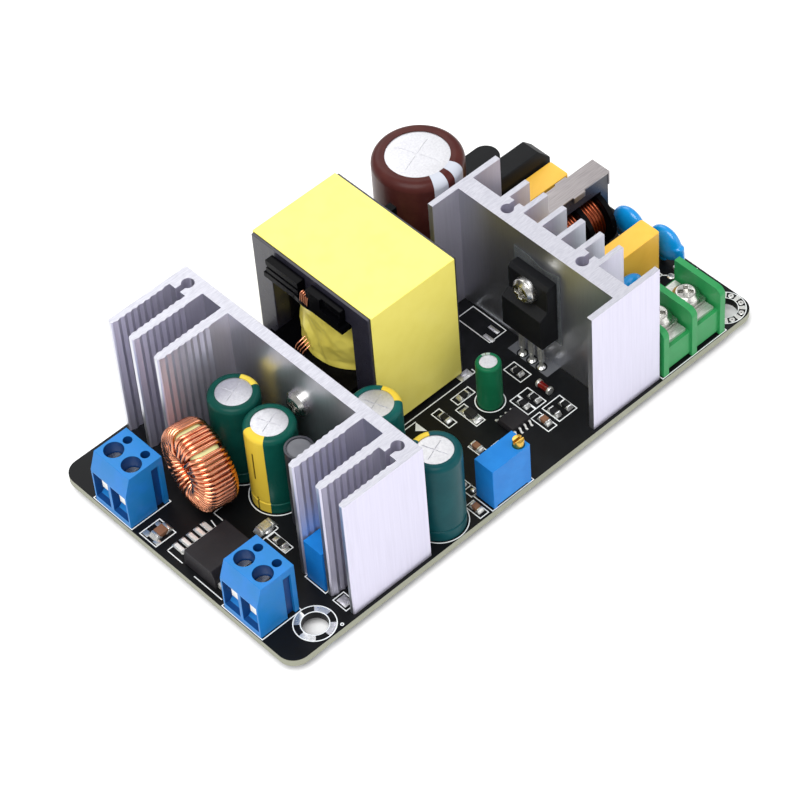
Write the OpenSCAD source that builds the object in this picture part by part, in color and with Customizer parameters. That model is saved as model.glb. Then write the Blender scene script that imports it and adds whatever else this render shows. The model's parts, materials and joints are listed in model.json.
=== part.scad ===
// Mains power supply board with two heatsinks, a wound transformer and screw terminals.
// Places are measured from the edges of the board; the near long edge is y = 0.

/* [Board] */
// Length of the board, along X
board_l = 120; // [117:1:140]
// Width of the board, along Y
board_w = 65; // [64:1:75]
// Thickness of the board
board_t = 1.6; // [1:0.1:2.4]
// Radius of the board's corners
corner_r = 3.5; // [1:0.5:4]
// Diameter of the mounting holes
hole_d = 5; // [3:0.1:5.4]
// Mounting holes at the output end, distance from that end
hole_out_in = 9.3; // [8:0.1:12]
// Mounting holes at the input end, distance from that end
hole_in_in = 4.3; // [4:0.1:5]
// Mounting holes, distance from the long edges
hole_side_in = 4.4; // [4:0.1:5]
// Projection of leads and screw heads below the board
under = 2; // [1.5:0.1:3]

/* [Leads] */
// Diameter of the component leads
lead_d = 0.8; // [0.5:0.05:1]
// Clearance round a lead in its hole
lead_gap = 0.12; // [0.05:0.01:0.2]
// Diameter of a solder joint at the board
joint_d = 2; // [1.6:0.1:2.2]

/* [Heatsinks] */
// Height of both heatsinks
sink_h = 30; // [24:0.5:40]
// Distance of the output heatsink's fin tips from the output end
out_sink_in = 15.5; // [15.2:0.1:16]
// Distance of the output heatsink's ends from the long edges
out_sink_side = 0.7; // [0.3:0.1:1.2]
// Depth of the output heatsink, fin tips to back
out_sink_d = 19; // [18.5:0.1:19.2]
// Thickness of the output heatsink's back plate
out_spine_t = 2.5; // [2:0.1:3]
// Clear width between the two inner fins
bay_w = 34.4; // [34:0.1:36]
// Thickness of an output fin at its root
fin_root_t = 1.9; // [1.5:0.1:2.1]
// Thickness of an output fin at its tip
fin_tip_t = 1.4; // [1:0.1:1.6]
// Thickness of the output heatsink's end fins
end_fin_t = 1.3; // [1:0.1:1.6]
// Height of the ribs on the fins
rib_h = 0.24; // [0.05:0.01:0.26]
// Pitch of the ribs on the fins
rib_p = 1.5; // [1:0.1:2]
// Distance of the input heatsink's face from the input end
in_sink_in = 37; // [36.8:0.1:37.4]
// Distance of the input heatsink from the near edge
in_sink_side = 0.7; // [0.3:0.1:1.2]
// Space between the input heatsink and the bulk capacitor
in_sink_gap = 1.5; // [0.6:0.1:4]
// Thickness of the input heatsink's back plate
in_spine_t = 3.9; // [3.4:0.1:4.2]
// Depth of the input heatsink's end plates in front of its face
flange_front = 6.7; // [5:0.1:7]
// Depth of the input heatsink's end plates behind the back plate
flange_back = 7; // [6:0.1:7.2]
// Thickness of the end plates
flange_t = 1.25; // [1:0.05:1.5]
// Pitch of the input heatsink's fins
in_fin_p = 4.9; // [4.8:0.1:5.2]
// Thickness of the input heatsink's fins
in_fin_t = 1.2; // [1:0.1:1.4]
// Length of the input heatsink's fins
in_fin_l = 6.4; // [5:0.1:6.8]
// Diameter of the screw channels
channel_d = 2.5; // [2.2:0.1:2.7]
// Width of the slot that opens a screw channel
channel_slot = 1.2; // [0.8:0.1:1.6]
// Metal round a screw channel
channel_wall = 1.4; // [1.2:0.1:1.6]

/* [Power devices] */
// Width of a transistor body
device_w = 10.2; // [9.6:0.1:10.4]
// Height of a transistor body
device_h = 15; // [14:0.1:15.6]
// Thickness of a transistor body
device_t = 4.5; // [4.2:0.1:4.7]
// Thickness of a body's thin upper part
device_top_t = 2.5; // [2.2:0.1:2.8]
// Height of a body's underside above the board
device_z = 8.2; // [6:0.1:9]
// Pitch of a transistor's leads
device_p = 2.54; // [2.2:0.01:2.7]
// Switching transistor's offset from the middle of its heatsink
switch_off = -0.65; // [-2:0.05:2]
// Output rectifier centre, distance from the near edge
rectifier_y = 31.2; // [31:0.1:35]
// Thickness of the insulating pad
pad_t = 0.25; // [0.15:0.05:0.4]
// Diameter of the device screws
screw_d = 3; // [2.5:0.1:3.2]
// Clearance round a screw
screw_gap = 0.1; // [0.05:0.01:0.2]
// Diameter of the screw heads
screw_head_d = 5.4; // [5:0.1:6]
// Height of the screw heads
screw_head_h = 2; // [1.6:0.1:2.4]
// Reach of the heatsink screws into their channels
sink_screw_l = 8; // [5:0.5:12]

/* [Transformer] */
// Depth of the transformer core, along X
core_d = 22; // [20:0.1:22.4]
// Length of the taped transformer, along Y
core_l = 32.4; // [31:0.1:33]
// Height of the transformer above the board
core_top = 32.2; // [28:0.1:34]
// Height of the core's underside above the board
core_z = 1.2; // [1:0.1:1.6]
// Thickness of the core's top and bottom plates
plate_t = 4.7; // [4:0.1:5.5]
// Width of the core's legs at its open sides
leg_t = 4.9; // [4.5:0.1:5.4]
// Thickness of the legs at the winding
leg_thin = 2.4; // [2:0.1:3]
// Diameter of the winding
coil_d = 22.6; // [20:0.1:24]
// Height of the bobbin's lower flange above the board
coil_low = 8.8; // [6.2:0.1:10]
// Height of the wire guides above the board
guide_top = 30.8; // [28:0.1:31.4]
// Space between the wire guides
guide_space = 2.2; // [1.4:0.1:4]
// Diameter of the core's centre post
post_d = 13.5; // [12:0.1:14]
// Distance of the core from the output end
core_in = 47.1; // [47:0.1:48]
// Distance of the transformer from the far edge
core_side = 4.5; // [4:0.1:4.6]
// Thickness of the outer tape
tape_t = 0.3; // [0.2:0.05:0.4]
// Setback of the tape from the core's open sides
tape_in = 0.6; // [0.2:0.1:1]
// Thickness of the bobbin's walls
bobbin_t = 1.2; // [0.8:0.1:1.4]
// Bobbin's reach past the core on each open side
bobbin_out = 2; // [1.6:0.1:2.2]
// Number of pins on each side of the bobbin
pin_count = 6; // [4:1:7]
// Pitch of the bobbin's pins
pin_p = 3.8; // [3:0.1:4]

/* [Capacitors] */
// Diameter of the bulk capacitor
bulk_d = 18; // [16:0.1:18.4]
// Height of the bulk capacitor
bulk_h = 30.6; // [25:0.1:36]
// Bulk capacitor centre, from the input end and the far edge
bulk_at = [36.4, 10.9]; // [5:0.1:60]
// Diameter of the output capacitors
cap_d = 10; // [8:0.1:10.1]
// Height of the output capacitors
cap_h = 20; // [16:0.1:25]
// Space between neighbouring output capacitors
cap_space = 0.2; // [0.1:0.05:0.4]
// First output capacitor centre, from the output end and the near edge
cap_at = [25, 31.8]; // [1:0.1:60]
// Pair of output capacitors by the near edge, from the output end and the near edge
cap_pair_at = [41.3, 5.6]; // [1:0.1:60]
// Distance between that pair
cap_pair_p = 15.7; // [10.5:0.1:17]
// Diameter of the small green capacitor
bias_d = 5; // [4:0.1:6]
// Height of the small green capacitor
bias_h = 11.2; // [8:0.1:14]
// Small green capacitor centre, from the output end and the near edge
bias_at = [67.9, 19.8]; // [1:0.1:80]
// Diameter of the sleeved drum choke
drum_d = 5.7; // [5:0.1:6]
// Height of the sleeved drum choke
drum_h = 20; // [15:0.1:22]
// Thickness of a capacitor's sleeve
sleeve_t = 0.2; // [0.1:0.05:0.3]
// Width of the sleeve's lip on the top, as a share of the radius
lip_share = 0.3; // [0.2:0.01:0.4]

/* [Toroid] */
// Outer diameter of the toroid core
toroid_d = 14.6; // [14:0.1:14.8]
// Inner diameter of the toroid core
toroid_bore = 8.9; // [8.9:0.1:9.2]
// Length of the toroid core along its axis
toroid_l = 5.2; // [4.6:0.1:5.3]
// Diameter of the toroid's wire
wire_d = 0.92; // [0.6:0.01:0.93]
// Space between the wire and the core, and between its layers
wire_space = 0.05; // [0.03:0.01:0.1]
// Number of turns on the toroid, an even number
turns = 36; // [20:2:36]
// Toroid centre, distance from the output end
toroid_in = 15.4; // [15.2:0.1:15.8]
// Space between the toroid and the fin beside it
toroid_space = 0.3; // [0.2:0.05:0.6]
// Turn of the toroid's axis from X
toroid_turn = -5; // [-10:1:0]

/* [Output terminals] */
// Width of an output terminal
term_w = 10; // [9.6:0.1:10.4]
// Depth of an output terminal
term_d = 9.2; // [8.6:0.1:10]
// Height of an output terminal
term_h = 12.8; // [11:0.1:14]
// Height of the upright part of its front
term_front_h = 8.8; // [8.4:0.1:9.4]
// Setback of its top front edge
term_bevel = 1.4; // [1:0.1:1.8]
// Distance of the terminals from the output end
term_in = 0.3; // [0.1:0.1:0.8]
// Centres of the two terminals, from the near edge
term_y = [13.75, 49.85]; // [10:0.05:55]
// Diameter of the screw wells
well_d = 3.9; // [3.6:0.1:4.2]
// Width of a wire opening
window_w = 4.2; // [3.8:0.1:4.3]
// Distance of the screw wells from the terminal's front
well_in = 4.1; // [3.8:0.1:4.4]
// Depth of a wire opening
window_d = 6.6; // [6.4:0.1:7]
// Setback of the clamps from the terminal's front
clamp_in = 2; // [1.6:0.1:2.4]
// Distance of the pins from the terminal's front
pin_in = 4.4; // [4:0.1:4.8]
// Diameter of the clamp screws' shanks
clamp_screw_d = 2.4; // [2:0.1:2.6]

/* [Input terminal] */
// Pitch of the input terminal's ways
barrier_p = 7.62; // [7.3:0.01:7.8]
// Thickness of the barrier walls
barrier_t = 1.4; // [1.2:0.1:1.6]
// Depth of the input terminal
barrier_d = 12; // [11.5:0.1:13]
// Height of the barrier walls
barrier_h = 12; // [11:0.1:14]
// Height of the terminal's floor
barrier_floor = 6.6; // [6:0.1:7.2]
// Input terminal's right side, from the input end and the near edge
barrier_at = [8.7, 0.3]; // [0.1:0.1:12]
// Number of ways
ways = 2; // [1:1:2]
// Length of the input terminal's screws below their heads
barrier_screw_l = 5.4; // [4:0.1:6]

/* [Trimmers] */
// Length of a trimmer
trim_l = 9.53; // [9:0.01:9.8]
// Width of a trimmer
trim_w = 4.83; // [4.6:0.01:5]
// Height of a trimmer above the board
trim_h = 10.4; // [9.4:0.1:11]
// Clearance beside the trimmer that stands between two fins
trim_gap = 0.15; // [0.12:0.01:0.3]
// Diameter of an adjusting screw
adjust_d = 2.2; // [1.8:0.1:2.4]
// Projection of an adjusting screw
adjust_out = 1.5; // [1:0.1:2]
// Running clearance round an adjusting screw
adjust_gap = 0.06; // [0.03:0.01:0.1]
// Front trimmer's corner, from the output end and the near edge
trim_at = [50, 0.25]; // [0.1:0.05:60]

/* [Line parts] */
// Length, thickness and height of the film capacitors
film_size = [18, 5, 12]; // [4:0.1:19]
// Front film capacitor's near corner, from the input end and the near edge
film_front_at = [6.6, 19.4]; // [1:0.1:60]
// Space between line parts that stand side by side
line_space = 0.4; // [0.3:0.05:0.6]
// Length, thickness and height of the bridge rectifier
bridge_size = [18.4, 5.4, 14]; // [4:0.1:19]
// Bridge rectifier's near corner, from the input end and the far edge
bridge_at = [7.1, 16.4]; // [1:0.1:30]
// Pitch of the bridge rectifier's leads
bridge_p = 5; // [4:0.1:5.2]
// Length, width and height of the fuse body
fuse_size = [10, 5.8, 8]; // [4:0.1:11]
// Fuse centre, from the input end and the far edge
fuse_at = [15, 3.9]; // [3:0.1:30]
// Diameter of the disc capacitors
disc_d = 8.2; // [7:0.1:8.4]
// Thickness of the disc capacitors
disc_t = 3.6; // [3:0.1:4]
// Disc capacitor beside the front film capacitor, from the input end and the near edge
disc_side_at = [3.3, 21]; // [2:0.1:40]
// Disc capacitor behind the front film capacitor, from the input end and the near edge
disc_back_at = [4.5, 29.6]; // [2:0.1:40]

/* [Line choke] */
// Length of the choke core, along X
choke_l = 16.2; // [15:0.1:17]
// Width of the choke core's legs, along Y
choke_w = 4.4; // [4:0.1:5]
// Height of the choke core's legs
choke_leg = 3.5; // [3:0.1:4]
// Radius of the bobbin's flanges
flange_r = 6.6; // [6:0.1:7]
// Height of the bobbin's axis above the board
choke_axis = 8; // [7.6:0.1:8.6]
// Thickness of the steel clamp
clamp_t = 0.4; // [0.3:0.05:0.5]
// Choke centre, distance from the input end
choke_in = 14.8; // [14:0.1:15.4]
// Space between the choke and the rear film capacitor
choke_space = 1.2; // [0.4:0.1:1.6]

/* [Surface parts] */
// Size of the regulator body: along X, along Y, height
reg_size = [10, 8.8, 4.4]; // [3:0.1:11]
// Regulator body's near corner, from the output end and the near edge
reg_at = [1.9, 22.8]; // [1:0.1:60]
// Number of the regulator's leads
reg_leads = 5; // [3:1:6]
// Pitch of the regulator's leads
reg_p = 1.7; // [1.5:0.05:1.7]
// Length of a chip part
chip_l = 2.2; // [1.6:0.1:2.6]
// Width of a chip part
chip_w = 1.3; // [0.8:0.1:1.5]
// Height of a chip part
chip_h = 0.7; // [0.4:0.1:1.2]
// Size of the controller body: along X, along Y, height
ic_size = [3.9, 4.9, 1.4]; // [1:0.1:5]
// Controller centre, from the output end and the near edge
ic_at = [67.1, 12.6]; // [1:0.1:80]
// Diameter of the glass diode
glass_d = 1.5; // [1.2:0.1:1.8]
// Length of the glass diode
glass_l = 3.4; // [2.8:0.1:3.8]
// Glass diode centre, from the output end and the near edge
glass_at = [76.9, 14.4]; // [1:0.1:80]

/* [Hidden] */
$fn = 48;
eps = 0.01;
top_z = under + board_t;

// Output heatsink, measured along X from the output end
out_l = board_w - 2*out_sink_side;
out_back_x = out_sink_in + out_sink_d;
out_face_x = out_back_x - out_spine_t;
channel_depth = channel_d + channel_wall + channel_d/2;
channel_off = channel_wall + channel_d/2;
out_channel_x = out_back_x - channel_off;
fin_1 = bay_w/2 + fin_root_t/2;
fin_2 = fin_1 + fin_root_t + trim_w + 2*trim_gap;
fin_3 = out_l/2 - end_fin_t/2;
out_channel_y = (fin_2 + fin_3)/2;
fin_len = out_sink_d - out_spine_t;
rib_share = 0.76;
rib_count = floor(rib_share*fin_len/rib_p);

// Input heatsink
in_face_x = board_l - in_sink_in;
bulk_place = [board_l - bulk_at[0], board_w - bulk_at[1]];
in_sink_l = bulk_place[1] - bulk_d/2 - in_sink_gap - in_sink_side;
in_mid_y = in_sink_side + in_sink_l/2;
in_channel_x = in_face_x + channel_off;
in_channel_y = 2*in_fin_p;

// Power devices
switch_x = in_face_x - pad_t;
switch_y = in_mid_y + switch_off;
switch_screw_z = device_z + 0.8*device_h;
device_lead_x = device_top_t/2 + 0.9;
rectifier_x = out_back_x;
nut_d = 5.5;
nut_h = 2.4;

// Transformer
core_mid = [core_in + core_d/2, board_w - core_side - core_l/2];
core_in_l = core_l - 2*tape_t;
core_h = core_top - tape_t - core_z;
window_h = core_h - 2*plate_t;
coil_z = core_z + plate_t;
leg_bore_r = core_in_l/2 - leg_thin;
coil_space = 0.3;
flange_d = core_d/2 + bobbin_out;

// Capacitors
bulk_p = 7.5;
bulk_turn = 30;
cap_p = 5;
caps = [
    cap_at,
    cap_at + [0.3, cap_d + cap_space],
    cap_pair_at,
    cap_pair_at + [0, cap_pair_p]
];
drum_at = cap_at - [0.3, cap_d/2 + drum_d/2 + 3*cap_space];

// Toroid: straight runs outside and inside the core, joined by half turns
wire_out_r = toroid_d/2 + wire_space + wire_d/2;
wire_in_r = toroid_bore/2 - wire_space - wire_d/2;
layer_r = [wire_in_r, wire_in_r - wire_d - wire_space];
turn_step = 335/turns;
turn_start = 102.5 - 180;
toroid_z = wire_out_r + wire_d/2 + 0.3;
toroid_at = [
    toroid_in,
    board_w/2 + bay_w/2 - rib_h - toroid_space - wire_out_r - wire_d/2
];

// Terminals and trimmers
term_p = term_w/2;
window_z = 1.4;
clamp_top = term_front_h - 0.6;
barrier_w = ways*barrier_p + barrier_t;
barrier_x = board_l - barrier_at[0] - barrier_w;
way_w = barrier_p - barrier_t;
rear_trim_at = [out_sink_in, board_w/2 - (fin_1 + fin_2)/2 - trim_w/2];
trims = [trim_at, rear_trim_at];
adjust_in = 1.5;

// Line parts
film_front_x = board_l - film_front_at[0] - film_size[0];
bridge_x = board_l - bridge_at[0] - bridge_size[0];
bridge_y = board_w - bridge_at[1];
film_rear_y = bridge_y - line_space - film_size[1];
fuse_place = [board_l - fuse_at[0], board_w - fuse_at[1]];
choke_place = [board_l - choke_in, film_rear_y - choke_space - flange_r];
disc_front = [film_front_x + 6.8, film_front_at[1] - line_space - disc_t/2];
disc_side = [board_l - disc_side_at[0], disc_side_at[1]];
disc_back = [board_l - disc_back_at[0], disc_back_at[1]];
discs = [[disc_front, 0], [disc_side, 90], [disc_back, 90]];
disc_z = disc_d/2 + 1.4;
choke_top = choke_axis + flange_r + 0.3;
choke_flange_t = 1.1;
tube_l = choke_l - 4.2;
hub_r = norm([choke_w, choke_leg])/2 + 0.8;

// Chip parts: centre from the output end and the near edge, and the turn
dark_chips = [
    [[58.9, 22.8], 90], [[65.2, 24.3], 0], [[71.6, 14.7], 90], [[74.1, 14.3], 90],
    [[76.9, 8.8], 90], [[76.5, 21.3], 90], [[17.3, 22.4], 90]
];
brown_chips = [
    [[58, 13.3], 90], [[61.2, 9.4], 90], [[47.8, 2.8], 90], [[71.4, 8.8], 90],
    [[74.1, 9], 90], [[3.6, 40.2], 0], [[17.7, 27.2], 0]
];
signal_diode_at = [62.8, 19.8];

// Places of the leads, each from the output end and the near edge
function pair(p, gap, turn = 0) =
    [for (s = [-1, 1]) p + s*gap/2*[cos(turn), sin(turn)]];
function row(p, count, pitch, turn = 0) =
    [for (i = [0 : count - 1]) p + (i - (count - 1)/2)*pitch*[cos(turn), sin(turn)]];
cap_leads = [for (p = caps) each pair(p, cap_p, 90)];
bulk_leads = pair(bulk_place, bulk_p, bulk_turn);
bias_leads = pair(bias_at, 2, 90);
drum_leads = pair(drum_at, 2.5, 0);
toroid_leads = [
    for (i = [0, 1]) toroid_at
        + wire_out_r*sin(i == 0 ? 12.5 : -12.5)*[-sin(toroid_turn), cos(toroid_turn)]
        + (i == 0 ? -1 : 1)*toroid_l/2*[cos(toroid_turn), sin(toroid_turn)]
];
switch_leads_at = row([switch_x - device_lead_x, switch_y], 3, device_p, 90);
rectifier_leads_at = row([rectifier_x + device_lead_x, rectifier_y], 3, device_p, 90);
transformer_leads = [
    for (s = [-1, 1]) each row(core_mid + [s*(flange_d - 0.9), 0], pin_count, pin_p, 90)
];
term_leads = [
    for (y = term_y) each row([term_in + pin_in, y], 2, term_p, 90)
];
barrier_leads = row(
    [barrier_x + barrier_w/2, barrier_at[1] + barrier_d - 2.5], ways, barrier_p);
trim_leads = [for (p = trims) each row(p + [trim_l/2, trim_w/2], 3, 2.54)];
film_leads = [
    for (p = [[film_front_x, film_front_at[1]], [bridge_x, film_rear_y]])
        each pair(p + [film_size[0]/2, film_size[1]/2], film_size[0] - 3)
];
bridge_leads_at = row(
    [bridge_x + bridge_size[0]/2, bridge_y + bridge_size[1]/2], 4, bridge_p);
fuse_leads = pair(fuse_place, 5);
disc_leads = [for (d = discs) each pair(d[0], 5, d[1])];
choke_leads = [for (s = [-1, 1]) each pair(choke_place + [0, s*4], choke_l - 5)];
all_leads = concat(
    cap_leads, bulk_leads, bias_leads, drum_leads, toroid_leads, switch_leads_at,
    rectifier_leads_at, transformer_leads, term_leads, barrier_leads, trim_leads,
    film_leads, bridge_leads_at, fuse_leads, disc_leads, choke_leads);
sink_screws_at = concat(
    [for (s = [-1, 1]) [out_channel_x, board_w/2 + s*out_channel_y]],
    [for (s = [-1, 1]) [in_channel_x, in_mid_y + s*in_channel_y]]);
mount_holes = [
    for (x = [hole_out_in, board_l - hole_in_in], y = [hole_side_in, board_w - hole_side_in])
        [x, y]
];

// Puts children at a place on top of the board
module at(p, turn = 0) {
    translate([p[0] - board_l/2, p[1] - board_w/2, top_z])
        rotate(turn)
            children();
}

// Rectangle with round corners, centred
module round_rect(l, w, r) {
    square([l - 2*r, w], center = true);
    square([l, w - 2*r], center = true);
    for (x = [-1, 1], y = [-1, 1])
        translate([x*(l/2 - r), y*(w/2 - r)])
            circle(r);
}

// Leads from the underside of the board up to a height
module leads(places, top, d = lead_d) {
    for (p = places)
        at(p)
            translate([0, 0, -board_t])
                cylinder(d = d, h = board_t + top);
}

// Pan head screw with a cross recess, head upward from z = 0, shank below
module pan_screw(shank_d, shank_l, head_d, head_h) {
    difference() {
        union() {
            translate([0, 0, -shank_l])
                cylinder(d = shank_d, h = shank_l + eps);
            cylinder(d = head_d, h = 0.6*head_h);
            translate([0, 0, 0.6*head_h])
                cylinder(d1 = head_d, d2 = 0.7*head_d, h = 0.4*head_h);
        }
        for (a = [0, 90])
            rotate(a)
                translate([0, 0, head_h])
                    cube([0.55*head_d, 0.16*head_d, head_h], center = true);
    }
}

module circuit_board() {
    color("#1c1d1f")
        translate([0, 0, under])
            difference() {
                linear_extrude(board_t)
                    round_rect(board_l, board_w, corner_r);
                translate([-board_l/2, -board_w/2, -eps]) {
                    for (p = mount_holes)
                        translate(p)
                            cylinder(d = hole_d, h = board_t + 2*eps);
                    for (p = all_leads)
                        translate(p)
                            cylinder(d = lead_d + 2*lead_gap, h = board_t + 2*eps);
                    for (p = sink_screws_at)
                        translate(p)
                            cylinder(d = screw_d + 2*screw_gap, h = board_t + 2*eps);
                }
            }
}

// Cone of solder with the trimmed end of the lead in it
module solder_joints() {
    color("#c8c8c4")
        for (p = all_leads)
            at(p)
                translate([0, 0, -board_t - under]) {
                    cylinder(d = lead_d, h = under);
                    translate([0, 0, 0.35*under])
                        cylinder(d1 = 1.1*lead_d, d2 = joint_d, h = 0.65*under);
                }
}

// One fin seen from above: tip at x = 0, root at x = length, ribs on the chosen sides
module fin(length, tip_t, root_t, sides) {
    half = function(x) (tip_t + (root_t - tip_t)*x/length)/2;
    edge = function(s, ribbed) [
        for (i = [0 : 2*rib_count])
            let (x = 0.6 + i*rib_p/2)
                [x, s*(half(x) + (ribbed ? (i % 2)*rib_h : 0))]
    ];
    upper = edge(1, sides[0]);
    lower = edge(-1, sides[1]);
    polygon(concat(
        [[0.3, tip_t/2]], upper, [[length, root_t/2], [length, -root_t/2]],
        [for (i = [len(lower) - 1 : -1 : 0]) lower[i]],
        [[0.3, -tip_t/2], [0, -tip_t/2 + 0.3], [0, tip_t/2 - 0.3]]));
}

// Keyhole of a screw channel, its slot opening along +X
module keyhole(reach) {
    circle(d = channel_d);
    translate([0, -channel_slot/2])
        square([reach, channel_slot]);
}

module output_heatsink() {
    boss_w = 2*(channel_d/2 + channel_wall);
    root = 0.4;
    color("#d9dadd")
        at([out_sink_in, board_w/2])
            difference() {
                union() {
                    linear_extrude(sink_h)
                        difference() {
                            union() {
                                translate([fin_len, -out_l/2])
                                    square([out_spine_t, out_l]);
                                for (s = [-1, 1])
                                    translate([out_sink_d - channel_depth, s*out_channel_y - boss_w/2])
                                        square([channel_depth, boss_w]);
                            }
                            for (s = [-1, 1])
                                translate([out_sink_d - channel_off, s*out_channel_y])
                                    mirror([1, 0])
                                        keyhole(channel_depth);
                        }
                    for (s = [-1, 1]) {
                        for (y = [fin_1, fin_2])
                            translate([0, s*y, 0])
                                linear_extrude(sink_h)
                                    fin(fin_len + root, fin_tip_t, fin_root_t, [true, true]);
                        translate([0, s*fin_3, 0])
                            linear_extrude(sink_h)
                                fin(fin_len + root, end_fin_t, end_fin_t, [s < 0, s > 0]);
                    }
                }
                translate([0, rectifier_y - board_w/2, switch_screw_z])
                    rotate([0, 90, 0])
                        cylinder(d = screw_d + 2*screw_gap, h = out_sink_d + 1);
            }
}

module input_heatsink() {
    color("#d9dadd")
        at([in_face_x, in_mid_y])
            difference() {
                linear_extrude(sink_h)
                    difference() {
                        union() {
                            translate([0, -in_sink_l/2])
                                square([in_spine_t, in_sink_l]);
                            for (s = [-1, 1])
                                translate([-flange_front, s*(in_sink_l - flange_t)/2 - flange_t/2])
                                    square([flange_front + in_spine_t + flange_back, flange_t]);
                            for (i = [0 : 5])
                                translate([in_spine_t - eps, (i - 2.5)*in_fin_p - in_fin_t/2])
                                    square([in_fin_l + eps, in_fin_t]);
                            for (s = [-1, 1])
                                translate([0, s*in_channel_y - (in_fin_p - in_fin_t)/2])
                                    square([channel_depth, in_fin_p - in_fin_t]);
                        }
                        for (s = [-1, 1])
                            translate([channel_off, s*in_channel_y])
                                keyhole(channel_depth);
                    }
                translate([-1, switch_y - in_mid_y, switch_screw_z])
                    rotate([0, 90, 0])
                        cylinder(d = screw_d + 2*screw_gap, h = in_spine_t + 2);
            }
}

// Screws from below the board into the channels
module heatsink_screws() {
    color("#b9bcc2")
        for (p = sink_screws_at)
            at(p)
                translate([0, 0, -board_t])
                    mirror([0, 0, 1])
                        pan_screw(channel_d - screw_gap, board_t + sink_screw_l, screw_head_d, under);
}

// Full-pack body standing on its lead end, back face at x = 0, front toward -X
module device_body() {
    step_z = 0.52*device_h;
    difference() {
        translate([0, device_w/2, 0])
            rotate([90, 0, 0])
                linear_extrude(device_w)
                    polygon([
                        [0, 0], [-device_t + 0.4, 0], [-device_t, 0.6], [-device_t, step_z],
                        [-device_top_t, step_z + 1.2], [-device_top_t, device_h - 0.7],
                        [-device_top_t + 0.7, device_h], [0, device_h]
                    ]);
        translate([-device_t, 0, switch_screw_z - device_z])
            rotate([0, 90, 0])
                cylinder(d = screw_d + 2*screw_gap, h = 2*device_t);
    }
}

// Three flat leads that bend out of a body and go down into the board
module device_leads(places) {
    for (p = places)
        at(p) {
            translate([0, 0, -board_t])
                cylinder(d = lead_d, h = board_t + 2);
            translate([-0.3, -0.6, 1.8])
                cube([0.6, 1.2, device_z - 1.8]);
        }
}

module switch_body() {
    color("#26272a")
        at([switch_x, switch_y])
            translate([0, 0, device_z])
                device_body();
}

module switch_leads() {
    color("#c2c2bf")
        device_leads(switch_leads_at);
}

module switch_screw() {
    color("#d0cfc9")
        at([switch_x - device_top_t, switch_y])
            translate([0, 0, switch_screw_z])
                rotate([0, -90, 0])
                    pan_screw(screw_d, device_top_t + pad_t + in_spine_t, screw_head_d, screw_head_h);
}

module insulating_pad() {
    margin = 1;
    color("#8d8f90")
        at([switch_x, switch_y - device_w/2 - margin])
            translate([0, 0, device_z - 1.5])
                difference() {
                    cube([pad_t, device_w + 2*margin, device_h + 4]);
                    translate([-1, device_w/2 + margin, switch_screw_z - device_z + 1.5])
                        rotate([0, 90, 0])
                            cylinder(d = screw_d + 2*screw_gap, h = 3);
                }
}

module rectifier_body() {
    tab_t = 1.3;
    body_h = 0.55*device_h;
    color("#26272a")
        at([rectifier_x, rectifier_y - device_w/2])
            translate([tab_t, 0, device_z])
                cube([device_t - tab_t, device_w, body_h]);
}

// Metal tab with its screw hole, and the three leads
module rectifier_leadframe() {
    tab_t = 1.3;
    color("#c2c2bf") {
        at([rectifier_x, rectifier_y - device_w/2])
            translate([0, 0, device_z])
                difference() {
                    cube([tab_t, device_w, device_h]);
                    translate([-1, device_w/2, switch_screw_z - device_z])
                        rotate([0, 90, 0])
                            cylinder(d = screw_d + 2*screw_gap, h = tab_t + 2);
                }
        device_leads(rectifier_leads_at);
    }
}

module rectifier_screw() {
    color("#d0cfc9")
        at([out_face_x, rectifier_y])
            translate([0, 0, switch_screw_z])
                rotate([0, -90, 0])
                    pan_screw(screw_d, out_spine_t + 1.3 + nut_h, screw_head_d, 0.85*screw_head_h);
}

module rectifier_nut() {
    color("#b9bcc2")
        at([rectifier_x + 1.3, rectifier_y])
            translate([0, 0, switch_screw_z])
                rotate([0, 90, 0])
                    difference() {
                        cylinder(d = nut_d/cos(30), h = nut_h, $fn = 6);
                        translate([0, 0, -eps])
                            cylinder(d = screw_d + screw_gap, h = nut_h + 1);
                    }
}

// Core: two plates, two legs hollowed round the winding and a round centre post
module transformer_core() {
    color("#3a3b3d")
        at(core_mid)
            translate([0, 0, core_z]) {
                for (z = [0, core_h - plate_t])
                    translate([-core_d/2, -core_in_l/2, z])
                        cube([core_d, core_in_l, plate_t]);
                difference() {
                    for (s = [-1, 1])
                        translate([-core_d/2, s*(core_in_l - leg_t)/2 - leg_t/2, plate_t - eps])
                            cube([core_d, leg_t, window_h + 2*eps]);
                    translate([0, 0, plate_t - 2*eps])
                        cylinder(r = leg_bore_r, h = window_h + 4*eps);
                }
                translate([0, 0, plate_t - eps])
                    cylinder(d = post_d, h = window_h + 2*eps);
            }
}

// Wire guides on the bobbin's upper lip: a grooved and a plain one, and a hook on the far side
module wire_guides(low, length) {
    clear = 0.2;
    groove = 0.6;
    hook_w = 1.8;
    wide = flange_d - core_d/2 - clear;
    tall = guide_top - low;
    translate([-flange_d, 0, low]) {
        difference() {
            translate([0, guide_space/2, 0])
                cube([wide, length - guide_space/2, tall]);
            for (i = [1, 2])
                translate([-eps, 0, i*tall/3 - groove/2])
                    cube([groove, length + 1, groove]);
        }
        difference() {
            translate([0, -length, 0])
                cube([wide, length - guide_space/2, tall]);
            translate([-eps, -length - eps, tall/2])
                cube([groove, length/2, tall]);
        }
    }
    translate([core_d/2 + clear, guide_space, low])
        cube([wide, hook_w, tall]);
}

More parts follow.
